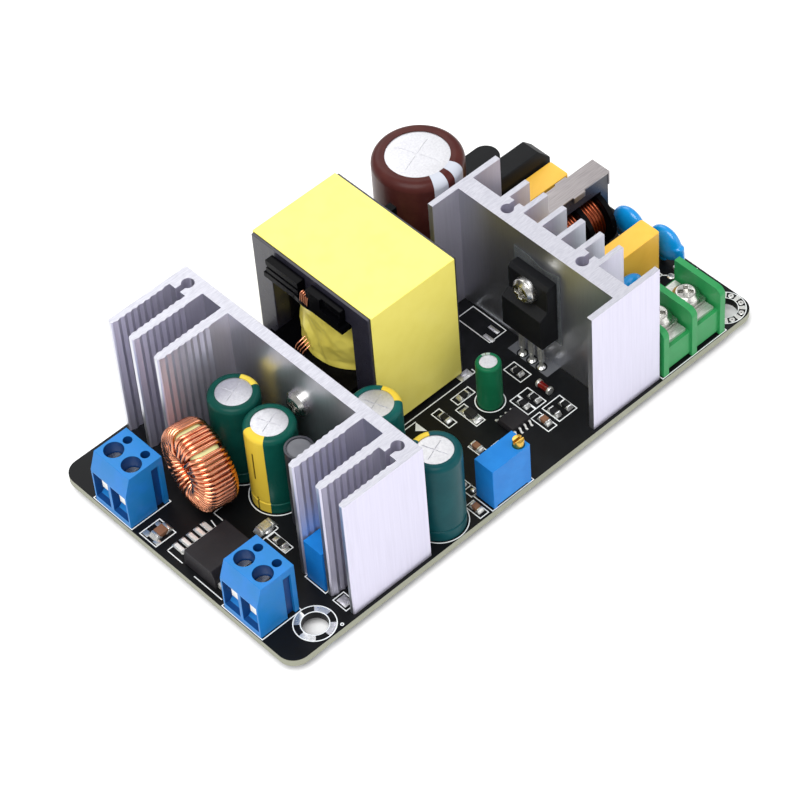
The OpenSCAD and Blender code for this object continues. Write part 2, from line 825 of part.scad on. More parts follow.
// Bobbin: tube on the centre post, two flanges, a pin rail on each open side and wire guides
module transformer_bobbin() {
    gap = 0.1;
    play = 0.2;
    rail_t = 1.2;
    rail_z = 0.4;
    rail_l = pin_count*pin_p + 1.6;
    rail_x = flange_d - rail_t/2;
    lip_l = core_in_l - 2*leg_t - 2*coil_space;
    lip_z = coil_z + window_h - bobbin_t - gap;
    color("#1d1d1f")
        at(core_mid)
            difference() {
                union() {
                    translate([0, 0, coil_z + gap])
                        cylinder(d = post_d + 2*play + 2*bobbin_t, h = window_h - 2*gap);
                    for (z = [coil_low, lip_z])
                        translate([0, 0, z]) {
                            cylinder(r = leg_bore_r - coil_space, h = bobbin_t);
                            translate([-flange_d, -lip_l/2, 0])
                                cube([2*flange_d, lip_l, bobbin_t]);
                        }
                    for (s = [-1, 1])
                        translate([s*rail_x - rail_t/2, -rail_l/2, rail_z])
                            cube([rail_t, rail_l, coil_low - rail_z + bobbin_t/2]);
                    wire_guides(lip_z, 0.46*lip_l);
                }
                translate([0, 0, coil_z])
                    cylinder(d = post_d + 2*play, h = window_h);
            }
}

module transformer_winding() {
    gap = 0.1;
    play = 0.2;
    low = coil_low + bobbin_t + gap;
    high = coil_z + window_h - bobbin_t - 2*gap;
    color("#d9b93a")
        at(core_mid)
            translate([0, 0, low])
                difference() {
                    cylinder(d = coil_d, h = high - low);
                    translate([0, 0, -eps])
                        cylinder(d = post_d + 2*play + 2*bobbin_t + 2*gap, h = window_h);
                }
}

// Band of tape round the core, open toward both X sides
module transformer_tape() {
    wide = core_d - 2*tape_in;
    color("#efe58a")
        at([core_mid[0] - wide/2, core_mid[1]])
            translate([0, 0, core_z - tape_t])
                rotate([90, 0, 90])
                    linear_extrude(wide)
                        difference() {
                            translate([-core_l/2, 0])
                                square([core_l, core_h + 2*tape_t]);
                            translate([-core_in_l/2, tape_t])
                                square([core_in_l, core_h]);
                        }
}

module transformer_pins() {
    color("#c8c8c4")
        leads(transformer_leads, 0.4);
}

// Half section of a can with a rounded top edge and a rolled groove, grown by a skin
module can_section(r, h, groove, edge, skin = 0) {
    difference() {
        union() {
            square([r - edge, h + skin]);
            square([r + skin, h - edge]);
            translate([r - edge, h - edge])
                circle(edge + skin);
        }
        translate([r + 0.55*groove, 2.6])
            circle(groove - skin);
        translate([-h, -h])
            square([h, 3*h]);
    }
}

module can(d, h, spread, turn) {
    r = d/2 - sleeve_t;
    top = h - sleeve_t;
    color("#d4d5d8") {
        difference() {
            rotate_extrude()
                can_section(r, top, 0.05*d, 0.09*d);
            for (a = [0, 90])
                rotate(a + 20)
                    translate([0, 0, top])
                        cube([0.5*d, 0.03*d, 0.4], center = true);
        }
        for (s = [-1, 1])
            rotate(turn)
                translate([s*spread/2, 0, -board_t])
                    cylinder(d = lead_d, h = board_t + eps);
    }
}

// Shrunk sleeve with a lip over the top edge
module sleeve(d, h, tint) {
    r = d/2 - sleeve_t;
    groove = 0.05*d;
    edge = 0.09*d;
    color(tint)
        rotate_extrude()
            difference() {
                can_section(r, h - sleeve_t, groove, edge, sleeve_t);
                can_section(r, h - sleeve_t, groove, edge);
                translate([-eps, -h])
                    square([d/2*(1 - lip_share), 3*h]);
            }
}

module bulk_capacitor_can() {
    at(bulk_place)
        can(bulk_d, bulk_h, bulk_p, bulk_turn);
}

module bulk_capacitor_sleeve() {
    at(bulk_place)
        sleeve(bulk_d, bulk_h, "#4a2022");
}

module output_capacitor_cans() {
    for (p = caps)
        at(p)
            can(cap_d, cap_h, cap_p, 90);
}

module output_capacitor_sleeves() {
    for (p = caps)
        at(p)
            sleeve(cap_d, cap_h, "#0f4a46");
}

module bias_capacitor_can() {
    at(bias_at)
        can(bias_d, bias_h, 2, 90);
}

module bias_capacitor_sleeve() {
    at(bias_at)
        sleeve(bias_d, bias_h, "#0f5a40");
}

// Ferrite drum with a chamfered top, standing on its two leads
module drum_choke_core() {
    r = drum_d/2 - sleeve_t;
    chamfer = 0.3;
    color("#3c3c40")
        at(drum_at) {
            cylinder(r = r, h = drum_h - chamfer);
            translate([0, 0, drum_h - chamfer])
                cylinder(r1 = r - chamfer, r2 = r - 2*chamfer, h = chamfer);
            for (s = [-1, 1])
                translate([s*1.25, 0, -board_t])
                    cylinder(d = lead_d, h = board_t + eps);
        }
}

// Sleeve round the drum, turned in over its top edge
module drum_choke_sleeve() {
    r = drum_d/2 - sleeve_t;
    color("#202226")
        at(drum_at)
            difference() {
                cylinder(d = drum_d, h = drum_h);
                translate([0, 0, -eps])
                    cylinder(r = r, h = drum_h - 0.3 + eps);
                cylinder(r = r - 0.3, h = drum_h + 1);
            }
}

// Puts children on the toroid's centre with its axis along local Z
module on_toroid() {
    at(toroid_at, toroid_turn)
        translate([0, 0, toroid_z])
            rotate([0, 90, 0])
                children();
}

module toroid_core() {
    ring = (toroid_d - toroid_bore)/2;
    color("#c9c77a")
        on_toroid()
            rotate_extrude()
                translate([(toroid_d + toroid_bore)/4, 0])
                    round_rect(ring, toroid_l, ring/2 - eps);
}

// Half turn of wire from one radius and angle to another, bulging along +Z
module half_turn(r1, a1, r2, a2) {
    p = r1*[cos(a1), sin(a1)];
    q = r2*[cos(a2), sin(a2)];
    span = norm(q - p);
    mid = (p + q)/2;
    way = atan2(q[1] - p[1], q[0] - p[0]);
    translate([mid[0], mid[1], 0])
        rotate(way)
            rotate([90, 0, 0])
                rotate_extrude(angle = 180)
                    translate([span/2, 0])
                        circle(d = wire_d, $fn = 24);
}

// One wire, wound round the core: each turn runs out, over, in and under to the next turn.
// The straight runs are a hair thinner than the bends and end inside them.
module toroid_winding() {
    run = toroid_l - (toroid_d - toroid_bore)/2;
    thin = wire_d - 0.03;
    lap = 0.06;
    color("#b5683f") {
        on_toroid()
            for (i = [0 : turns - 1]) {
                inner = layer_r[i % 2];
                lift = (i % 2)*0.3;
                last_lift = ((i + 1) % 2)*0.3;
                a = turn_start + i*turn_step;
                rotate(a)
                    translate([wire_out_r, 0, -run/2 - last_lift - lap])
                        cylinder(d = thin, h = run + lift + last_lift + 2*lap, $fn = 24);
                rotate(a)
                    translate([inner, 0, -run/2 - lift - lap])
                        cylinder(d = thin, h = run + 2*lift + 2*lap, $fn = 24);
                translate([0, 0, run/2 + lift])
                    half_turn(wire_out_r, a, inner, a);
                if (i < turns - 1)
                    translate([0, 0, -run/2 - lift])
                        mirror([0, 0, 1])
                            half_turn(inner, a, wire_out_r, a + turn_step);
            }
        leads(toroid_leads, 1.2, wire_d);
    }
}

// Flat power package: body cut out round its tab
module regulator_body() {
    l = reg_size[1];
    h = reg_size[2];
    color("#26272a")
        at(reg_at)
            difference() {
                rotate([90, 0, 90])
                    linear_extrude(reg_size[0])
                        polygon([
                            [0, 0], [l, 0], [l, 0.45*h], [l - 0.5, h], [0.9, h], [0, 0.6*h]
                        ]);
                translate([0.6, -eps, -eps])
                    cube([reg_size[0] - 1.2, 0.85*l + eps, 1.3 + eps]);
            }
}

// Tab under the body and a row of gull-wing leads
module regulator_leadframe() {
    l = reg_size[1];
    lead_w = 0.9;
    color("#c2c2bf")
        at(reg_at) {
            translate([0.6, -1.4, 0])
                cube([reg_size[0] - 1.2, 0.85*l + 1.4, 1.3]);
            for (i = [0 : reg_leads - 1])
                translate([reg_size[0]/2 + (i - (reg_leads - 1)/2)*reg_p - lead_w/2, l, 0])
                    rotate([90, 0, 90])
                        linear_extrude(lead_w)
                            polygon([
                                [0, 1.6], [1.4, 1.6], [2.2, 0.5], [4.4, 0.5], [4.4, 0],
                                [1.9, 0], [1.1, 1.1], [0, 1.1]
                            ]);
        }
}

// Output terminal: bevelled housing with screw wells, test holes and wire openings
module terminal_housing() {
    key_d = 0.6;
    difference() {
        union() {
            translate([0, term_w/2, 0])
                rotate([90, 0, 0])
                    linear_extrude(term_w)
                        polygon([
                            [0, 0], [term_d, 0], [term_d, term_h], [term_bevel, term_h],
                            [0, term_front_h]
                        ]);
            translate([term_d - 2.6, term_w/2 - eps, 0])
                cube([1.4, key_d, term_h - 2]);
        }
        translate([term_d - 2.8, -term_w/2 - eps, -eps])
            cube([1.8, key_d + 0.1, term_h - 1.8]);
        for (s = [-1, 1])
            translate([0, s*term_p/2, 0]) {
                translate([well_in, 0, clamp_top])
                    cylinder(d = well_d, h = term_h);
                translate([7.4, 0, term_h - 5])
                    cylinder(d = 0.47*well_d, h = 6);
                translate([-eps, window_w/2, 0])
                    rotate([90, 0, 0])
                        linear_extrude(window_w)
                            polygon([
                                [0, window_z], [1.2, window_z], [2.4, window_z + 1.2],
                                [window_d, window_z + 1.2], [window_d, clamp_top + eps], [0, clamp_top + eps]
                            ]);
                translate([pin_in, 0, -eps])
                    cylinder(d = lead_d + 2*lead_gap + 0.3, h = window_z + 2);
            }
    }
}

module near_output_terminal() {
    color("#2f86dd")
        at([term_in, term_y[0]])
            terminal_housing();
}

module far_output_terminal() {
    color("#2f86dd")
        at([term_in, term_y[1]])
            terminal_housing();
}

// Box clamps in the wire openings, each with its pin
module output_terminal_clamps() {
    low = window_z + 1.3;
    tall = clamp_top - low - 0.1;
    wide = window_w - 0.3;
    color("#d6d6d2") {
        for (y = term_y, s = [-1, 1])
            at([term_in + clamp_in, y + s*term_p/2])
                translate([0, 0, low])
                    difference() {
                        translate([0, -wide/2, 0])
                            cube([window_d - clamp_in - 0.2, wide, tall]);
                        translate([-1, -wide/2 + 0.5, 0.6])
                            cube([window_d + 1, wide - 1, 0.5*tall]);
                        translate([well_in - clamp_in, 0, 0.5*tall])
                            cylinder(d = clamp_screw_d + screw_gap, h = tall);
                    }
        leads(term_leads, low + 0.1);
    }
}

// Slotted clamp screws down in the wells
module output_terminal_screws() {
    head_h = 1.8;
    color("#cfd0d0")
        for (y = term_y, s = [-1, 1])
            at([term_in + well_in, y + s*term_p/2])
                translate([0, 0, clamp_top])
                    difference() {
                        union() {
                            cylinder(d = well_d - 0.3, h = head_h);
                            translate([0, 0, -2])
                                cylinder(d = clamp_screw_d, h = 2 + eps);
                        }
                        translate([0, 0, head_h])
                            cube([well_d, 0.6, 1.4], center = true);
                    }
}

// Side view of a barrier wall with a rounded front top corner
module wall_outline() {
    r = 1.6;
    square([barrier_d, barrier_h - r]);
    translate([r, 0])
        square([barrier_d - r, barrier_h]);
    translate([r, barrier_h - r])
        circle(r);
}

// Barrier terminal: floor with walls between the ways
module input_terminal() {
    set_back = 0.5;
    color("#3f9e5b")
        at([barrier_x, barrier_at[1]])
            difference() {
                union() {
                    for (i = [0 : ways])
                        translate([i*barrier_p, 0, 0])
                            rotate([90, 0, 90])
                                linear_extrude(barrier_t)
                                    wall_outline();
                    translate([0, set_back, 0])
                        cube([barrier_w, barrier_d - set_back, barrier_floor]);
                }
                for (i = [0 : ways - 1])
                    translate([i*barrier_p + barrier_t, 0, 0]) {
                        translate([0, -1, -eps])
                            cube([way_w, 2, 0.9]);
                        translate([way_w/2, barrier_d/2, barrier_floor - 5])
                            cylinder(d = screw_d + 2*screw_gap, h = 6);
                        translate([way_w/2, barrier_d - 2.5, -eps])
                            cylinder(d = lead_d + 2*lead_gap + 0.2, h = barrier_floor + 1);
                    }
            }
}

// Contact plates on the floor of each way, with a pin down to the board
module input_terminal_plates() {
    plate_t = 0.8;
    color("#d6d6d2") {
        for (i = [0 : ways - 1])
            at([barrier_x + i*barrier_p + barrier_t + way_w/2, barrier_at[1] + barrier_d/2])
                translate([0, 0, barrier_floor])
                    difference() {
                        translate([-way_w/2 + 0.5, -barrier_d/2 + 1.3, 0])
                            cube([way_w - 1, barrier_d - 2, plate_t]);
                        translate([0, 0, -1])
                            cylinder(d = screw_d + 2*screw_gap, h = 3);
                        for (k = [0 : 2])
                            translate([-way_w/2, -barrier_d/2 + 2.3 + 0.6*k, plate_t - 0.15])
                                cube([way_w, 0.25, 1]);
                    }
        leads(barrier_leads, barrier_floor + 0.1);
    }
}

module input_terminal_washers() {
    color("#d6d6d2")
        for (i = [0 : ways - 1])
            at([barrier_x + i*barrier_p + barrier_t + way_w/2, barrier_at[1] + barrier_d/2])
                translate([0, 0, barrier_floor + 0.8])
                    difference() {
                        linear_extrude(0.8)
                            round_rect(way_w - 0.6, way_w - 0.6, 0.5);
                        translate([0, 0, -1])
                            cylinder(d = screw_d + 2*screw_gap, h = 3);
                    }
}

module input_terminal_screws() {
    color("#d0cfc9")
        for (i = [0 : ways - 1])
            at([barrier_x + i*barrier_p + barrier_t + way_w/2, barrier_at[1] + barrier_d/2], 45)
                translate([0, 0, barrier_floor + 1.6])
                    pan_screw(screw_d, barrier_screw_l, screw_head_d, screw_head_h);
}

// Trimmer body on two feet, with a well for the adjusting screw
module trimmer_body() {
    foot = 0.4;
    difference() {
        union() {
            translate([0, 0, foot])
                cube([trim_l, trim_w, trim_h - foot]);
            for (x = [0, trim_l - 0.9])
                translate([x, 0, 0])
                    cube([0.9, trim_w, foot + eps]);
        }
        translate([trim_l - adjust_in, adjust_in, trim_h - 2.2])
            cylinder(d = adjust_d + 2*adjust_gap, h = 3);
    }
}

// Slotted adjusting screw
module trimmer_screw() {
    slot = 0.5;
    color("#d9b04a")
        translate([trim_l - adjust_in, adjust_in, trim_h - 2.1])
            difference() {
                cylinder(d = adjust_d, h = 2.1 + adjust_out);
                translate([0, 0, 2.1 + adjust_out])
                    cube([2*adjust_d, slot, 1.4], center = true);
            }
}

module front_trimmer_body() {
    color("#2f7fd6")
        at(trims[0])
            trimmer_body();
}

module front_trimmer_screw() {
    at(trims[0])
        trimmer_screw();
}

module rear_trimmer_body() {
    color("#2f7fd6")
        at(trims[1])
            trimmer_body();
}

module rear_trimmer_screw() {
    at(trims[1])
        trimmer_screw();
}

module trimmer_pins() {
    color("#c8c8c4")
        leads(trim_leads, 0.4);
}

// Bridge rectifier: bevelled near top edge and a chamfered end
module bridge_body() {
    w = bridge_size[1];
    h = bridge_size[2];
    color("#232427")
        at([bridge_x, bridge_y])
            translate([0, 0, 1])
                difference() {
                    rotate([90, 0, 90])
                        linear_extrude(bridge_size[0])
                            polygon([
                                [0, 0], [w, 0], [w, h - 0.3], [w - 0.3, h], [0.8, h], [0, h - 2]
                            ]);
                    translate([bridge_size[0], -1, h - 2.4])
                        rotate([0, -45, 0])
                            cube([5, w + 2, 5]);
                }
}

module bridge_leads() {
    color("#c8c8c4")
        leads(bridge_leads_at, 1);
}

module input_fuse() {
    color("#1f2023")
        at(fuse_place)
            translate([0, 0, 0.8])
                linear_extrude(fuse_size[2])
                    round_rect(fuse_size[0], fuse_size[1], fuse_size[1]/2 - eps);
}

module film_body() {
    color("#e0b63c")
        translate([film_size[0]/2, film_size[1]/2, 0])
            difference() {
                linear_extrude(film_size[2])
                    round_rect(film_size[0], film_size[1], 0.5);
                translate([0, 0, -eps])
                    linear_extrude(0.4)
                        round_rect(film_size[0] - 5, film_size[1] + 1, 0.4);
            }
}

module front_film_capacitor() {
    at([film_front_x, film_front_at[1]])
        film_body();
}

module rear_film_capacitor() {
    at([bridge_x, film_rear_y])
        film_body();
}

// Coated disc on edge, its coating drawn down over both leads
module disc_capacitors() {
    edge = 0.46*disc_t;
    color("#1e8fd8")
        for (d = discs)
            at(d[0], d[1]) {
                translate([0, 0, disc_z])
                    rotate([90, 0, 0])
                        rotate_extrude()
                            intersection() {
                                round_rect(disc_d, disc_t, edge);
                                translate([0, -disc_t])
                                    square([disc_d, 2*disc_t]);
                            }
                for (s = [-1, 1])
                    translate([s*2.5, 0, 0.5])
                        cylinder(d1 = 1.3, d2 = 2.6, h = disc_z - 2.4);
            }
}

// Leads of the fuse, the film and disc capacitors and the line choke
module line_part_leads() {
    color("#c8c8c4") {
        leads(fuse_leads, 0.8);
        for (p = film_leads)
            leads([p], 0);
        leads(disc_leads, 0.5);
        leads(choke_leads, 0);
    }
}

// Closed core: the wound leg below, the clamped leg above, joined by two ends
module choke_core() {
    low = choke_axis - choke_leg/2;
    end = 2;
    color("#4b4b4d")
        at(choke_place)
            rotate([90, 0, 0])
                translate([0, 0, -choke_w/2])
                    linear_extrude(choke_w)
                        difference() {
                            translate([-choke_l/2, low])
                                square([choke_l, choke_top + choke_leg - low]);
                            translate([-choke_l/2 + end, low + choke_leg])
                                square([choke_l - 2*end, choke_top - low - choke_leg]);
                        }
}

// Bobbin: tube on the wound leg, three round flanges and a footed base
module choke_bobbin() {
    base_l = choke_l - 3;
    color("#17171a")
        at(choke_place)
            difference() {
                union() {
                    translate([-tube_l/2, 0, choke_axis])
                        rotate([0, 90, 0])
                            cylinder(r = hub_r, h = tube_l);
                    for (s = [-1, 0, 1])
                        translate([s*(tube_l - choke_flange_t)/2 - choke_flange_t/2, 0, choke_axis])
                            rotate([0, 90, 0])
                                cylinder(r = flange_r, h = choke_flange_t);
                    translate([-base_l/2, -5, 0])
                        cube([base_l, 10, choke_axis - flange_r + 0.5]);
                }
                translate([-choke_l, -choke_w/2 - 0.05, choke_axis - choke_leg/2 - 0.05])
                    cube([2*choke_l, choke_w + 0.1, choke_leg + 0.1]);
            }
}

// Two wound sections, the outer layer drawn wire by wire
module choke_windings() {
    section = tube_l/2 - 1.5*choke_flange_t - 0.1;
    rows = 6;
    pitch = section/rows;
    build_up = 1.1;
    color("#a85a30")
        at(choke_place)
            for (s = [-1, 1])
                translate([s*(tube_l - choke_flange_t)/4, 0, choke_axis])
                    rotate([0, 90, 0])
                        rotate_extrude() {
                            translate([hub_r + 0.1, -section/2])
                                square([build_up, section]);
                            for (i = [0 : rows - 1])
                                translate([hub_r + build_up, (i - (rows - 1)/2)*pitch])
                                    circle(0.45*pitch, $fn = 24);
                        }
}

// Steel clamp on the upper leg, its ends bent down over the core
module choke_clamp() {
    wide = choke_w + 0.3;
    drop = 3;
    z = choke_top + choke_leg;
    color("#a9a3a4")
        at(choke_place) {
            translate([-choke_l/2 - clamp_t, -wide/2, z])
                cube([choke_l + 2*clamp_t, wide, clamp_t]);
            for (s = [-1, 1])
                translate([s*(choke_l + clamp_t)/2 - clamp_t/2, -wide/2, z - drop])
                    cube([clamp_t, wide, drop + eps]);
            for (s = [-1, 1])
                translate([-1.5, s*(wide + clamp_t)/2 - clamp_t/2, z - 1])
                    cube([3, clamp_t, 1 + clamp_t]);
        }
}

module controller_chip() {
    color("#242528")
        at(ic_at - [ic_size[0]/2, ic_size[1]/2])
            translate([0, 0, 0.15])
                rotate([90, 0, 90])
                    linear_extrude(ic_size[0])
                        polygon([
                            [0.15, 0], [ic_size[1] - 0.15, 0], [ic_size[1], 0.6],
                            [ic_size[1] - 0.15, ic_size[2]], [0.3, ic_size[2]], [0, 0.6]
                        ]);
}

module controller_leads() {
    color("#c2c2bf")
        for (s = [0, 1], i = [0 : 3])
            at(ic_at, 180*s)
                translate([ic_size[0]/2, (i - 1.5)*1.27 + 0.2, 0])
                    rotate([90, 0, 0])
                        linear_extrude(0.4)
                            polygon([
                                [0, 0.9], [0.4, 0.9], [0.7, 0.2], [1.1, 0.2], [1.1, 0],
                                [0.5, 0], [0.25, 0.65], [0, 0.65]
                            ]);
}

// Glass body between two end caps, lying along Y
module glass_diode() {
    cap = 0.6;
    color("#8e1f1d")
        at(glass_at)
            translate([0, glass_l/2, glass_d/2 + 0.1])
                rotate([90, 0, 0]) {
                    cylinder(d = glass_d - 0.15, h = glass_l);
                    for (z = [0, glass_l - cap])
                        translate([0, 0, z])
                            cylinder(d = glass_d + 0.2, h = cap);
                }
}

module chip_body(l, w, h) {
    translate([-0.62*l/2, -w/2, 0])
        cube([0.62*l, w, h]);
}

module chip_resistors() {
    color("#2b2b2c") {
        for (c = dark_chips)
            at(c[0], c[1])
                chip_body(chip_l, chip_w, chip_h);
        at(signal_diode_at, 90)
            chip_body(1.6*chip_l, 1.3*chip_w, 1.6*chip_h);
    }
}

module chip_capacitors() {
    color("#6b4634")
        for (c = brown_chips)
            at(c[0], c[1])
                chip_body(chip_l*(c[1] == 0 ? 1.5 : 1), chip_w*(c[1] == 0 ? 1.5 : 1), 1.4*chip_h);
}

// Tinned ends of the chip parts, each with its fillet of solder
module chip_ends(l, w, h) {
    for (s = [-1, 1])
        translate([s*0.4*l + (s < 0 ? -0.09*l : -0.09*l), -w/2, 0])
            cube([0.18*l, w, h]);
}

module chip_terminals() {
    color("#d6d6d2") {
        for (c = dark_chips)
            at(c[0], c[1])
                chip_ends(chip_l, chip_w, chip_h);
        for (c = brown_chips)
            at(c[0], c[1])
                chip_ends(
                    chip_l*(c[1] == 0 ? 1.5 : 1), chip_w*(c[1] == 0 ? 1.5 : 1), 1.4*chip_h);
        at(signal_diode_at, 90)
            chip_ends(1.6*chip_l, 1.3*chip_w, 0.8*chip_h);
    }
}

circuit_board();
solder_joints();
output_heatsink();
input_heatsink();
heatsink_screws();
rectifier_body();
rectifier_leadframe();
rectifier_screw();
rectifier_nut();
switch_body();
switch_leads();
switch_screw();
insulating_pad();
transformer_core();
transformer_bobbin();
transformer_winding();
transformer_tape();
transformer_pins();
bulk_capacitor_can();
bulk_capacitor_sleeve();
output_capacitor_cans();
output_capacitor_sleeves();
bias_capacitor_can();
bias_capacitor_sleeve();
drum_choke_core();
drum_choke_sleeve();
toroid_core();
toroid_winding();
regulator_body();
regulator_leadframe();
near_output_terminal();
far_output_terminal();
output_terminal_clamps();
output_terminal_screws();
input_terminal();
input_terminal_plates();
input_terminal_washers();
input_terminal_screws();
front_trimmer_body();
front_trimmer_screw();
rear_trimmer_body();
rear_trimmer_screw();
trimmer_pins();
bridge_body();
bridge_leads();
input_fuse();
front_film_capacitor();
rear_film_capacitor();
disc_capacitors();
line_part_leads();
choke_core();
choke_bobbin();
choke_windings();
choke_clamp();
controller_chip();
controller_leads();
glass_diode();
chip_resistors();
chip_capacitors();
chip_terminals();
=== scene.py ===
import json
import math
import random

import bpy
from mathutils import Matrix, Vector, noise


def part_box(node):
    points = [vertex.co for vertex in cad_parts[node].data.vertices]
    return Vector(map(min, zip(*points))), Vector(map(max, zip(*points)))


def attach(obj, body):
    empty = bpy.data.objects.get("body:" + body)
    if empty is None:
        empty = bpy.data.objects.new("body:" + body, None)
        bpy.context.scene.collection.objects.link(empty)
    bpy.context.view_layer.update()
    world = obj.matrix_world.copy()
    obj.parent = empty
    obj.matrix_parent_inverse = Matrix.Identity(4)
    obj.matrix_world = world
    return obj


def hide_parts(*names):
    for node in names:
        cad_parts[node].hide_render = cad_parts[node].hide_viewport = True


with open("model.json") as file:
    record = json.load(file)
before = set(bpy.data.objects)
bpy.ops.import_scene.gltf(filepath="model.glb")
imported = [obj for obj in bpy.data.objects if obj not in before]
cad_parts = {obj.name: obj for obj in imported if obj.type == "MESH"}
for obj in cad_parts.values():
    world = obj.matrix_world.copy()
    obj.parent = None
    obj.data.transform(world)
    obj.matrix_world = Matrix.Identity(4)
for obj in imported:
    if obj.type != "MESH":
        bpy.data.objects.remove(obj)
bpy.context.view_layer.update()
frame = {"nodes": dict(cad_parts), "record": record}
nodes = frame["nodes"]
slotOf = {part["node"]: part["material_slot"] for part in frame["record"]["subparts"]}
bodyOf = {node: body for body, members in frame["record"]["behaviour"]["bodies"].items() for node in members}
mm = 0.001
boardSize = {"length": 120.0, "width": 65.0, "top": 3.6}  # in millimetres, as in the part
capAxes = {  # where each electrolytic capacitor stands
    "insideFar": (25.3, 41.9), "insideNear": (25.0, 31.8), "outsideNear": (41.3, 5.6), "outsideFar": (41.3, 21.3),
    "bulk": (83.6, 54.1), "bias": (67.9, 19.8)}


def place(x, y, z=0.0):  # board place (from the output end and the near edge, above the board) to metres
    return Vector(((x - boardSize["length"] / 2) * mm, (y - boardSize["width"] / 2) * mm,
                   (z + boardSize["top"]) * mm))


def deselectAll():
    if bpy.context.object and bpy.context.object.mode != "OBJECT":
        bpy.ops.object.mode_set(mode="OBJECT")
    bpy.ops.object.select_all(action="DESELECT")


def activate(piece):
    deselectAll()
    piece.select_set(True)
    bpy.context.view_layer.objects.active = piece
    return piece


deselectAll()
print("frame loaded")

# camera at the photograph's angle
camera = {"location": (-0.266834, -0.320562, 0.473203), "turn": (41.3219, 3.2964, -43.1353), "lens": 149.355,
          "sensor": 36.0, "clip": (0.01, 20.0)}
bpy.ops.object.camera_add(location=camera["location"], rotation=[math.radians(a) for a in camera["turn"]])
photoCamera = bpy.context.object
photoCamera.name = "photoCamera"
photoCamera.data.lens = camera["lens"]
photoCamera.data.sensor_width = camera["sensor"]
photoCamera.data.clip_start, photoCamera.data.clip_end = camera["clip"]
bpy.context.scene.camera = photoCamera
bpy.context.scene.view_settings.view_transform = "Standard"
print("camera set")

# materials
mixSocket = {"share": 0, "under": 6, "over": 7, "result": 2}  # the colour sockets of a mix node
noiseRough = 0.55


def linear(hexColour):  # a screen colour as the shader wants it
    channels = [int(hexColour[i:i + 2], 16) / 255 for i in (0, 2, 4)]
    return tuple(c / 12.92 if c <= 0.04045 else ((c + 0.055) / 1.055) ** 2.4 for c in channels) + (1.0,)


class Finish:  # one principled material with a few ways to add detail
    def __init__(self, name, colour, roughness, metallic=0.0, coat=0.0, specular=0.5):
        self.material = bpy.data.materials.new(name)
        self.material.use_nodes = True
        self.tree = self.material.node_tree
        self.shader = self.tree.nodes["Principled BSDF"]
        self.put("Base Color", linear(colour))
        self.put("Roughness", roughness)
        self.put("Metallic", metallic)
        self.put("Coat Weight", coat)
        self.put("Specular IOR Level", specular)
        self.colourFrom = None
        self.bumpFrom = None
        self.material.diffuse_color = linear(colour)

    def put(self, socket, value):
        self.shader.inputs[socket].default_value = value

    def add(self, kind, **settings):
        node = self.tree.nodes.new(kind)
        for key, value in settings.items():
            if key in node.inputs.keys():
                node.inputs[key].default_value = value
            else:
                setattr(node, key, value)
        return node

    def link(self, a, b):
        self.tree.links.new(a, b)

    def calc(self, operation, a, b=None):  # one sum; each term is a socket or a number
        node = self.add("ShaderNodeMath", operation=operation)
        for socket, term in zip(node.inputs, (a, b)):
            if isinstance(term, (int, float)):
                socket.default_value = term
            elif term is not None:
                self.link(term, socket)
        return node.outputs[0]

    def coords(self, stretch=(1, 1, 1), shift=(0, 0, 0)):
        source = self.add("ShaderNodeTexCoord")
        mapping = self.add("ShaderNodeMapping", Location=shift, Scale=stretch)
        self.link(source.outputs["Object"], mapping.inputs["Vector"])
        return mapping.outputs["Vector"]

    def noise(self, perMetre, stretch=(1, 1, 1), detail=2):
        node = self.add("ShaderNodeTexNoise", Scale=perMetre, Detail=detail, Roughness=noiseRough)
        self.link(self.coords(stretch), node.inputs["Vector"])
        return node.outputs["Fac"]

    def ramp(self, fac, low, high):
        node = self.add("ShaderNodeMapRange")
        node.inputs["From Min"].default_value = low
        node.inputs["From Max"].default_value = high
        self.link(fac, node.inputs["Value"])
        return node.outputs["Result"]

    def mix(self, share, colour):  # lays another colour over the one so far
        node = self.add("ShaderNodeMix", data_type="RGBA")
        self.link(share, node.inputs[mixSocket["share"]])
        if self.colourFrom is None:
            node.inputs[mixSocket["under"]].default_value = self.shader.inputs["Base Color"].default_value
        else:
            self.link(self.colourFrom, node.inputs[mixSocket["under"]])
        node.inputs[mixSocket["over"]].default_value = linear(colour)
        self.colourFrom = node.outputs[mixSocket["result"]]
        self.link(self.colourFrom, self.shader.inputs["Base Color"])
        return self

    def roughen(self, fac, low, high):
        node = self.add("ShaderNodeMapRange")
        node.inputs["To Min"].default_value = low
        node.inputs["To Max"].default_value = high
        self.link(fac, node.inputs["Value"])
        self.link(node.outputs["Result"], self.shader.inputs["Roughness"])
        return self

    def bump(self, height, depth, strength):
        node = self.add("ShaderNodeBump", Strength=strength, Distance=depth)
        self.link(height, node.inputs["Height"])
        if self.bumpFrom is not None:
            self.link(self.bumpFrom, node.inputs["Normal"])
        self.bumpFrom = node.outputs["Normal"]
        self.link(self.bumpFrom, self.shader.inputs["Normal"])
        return self


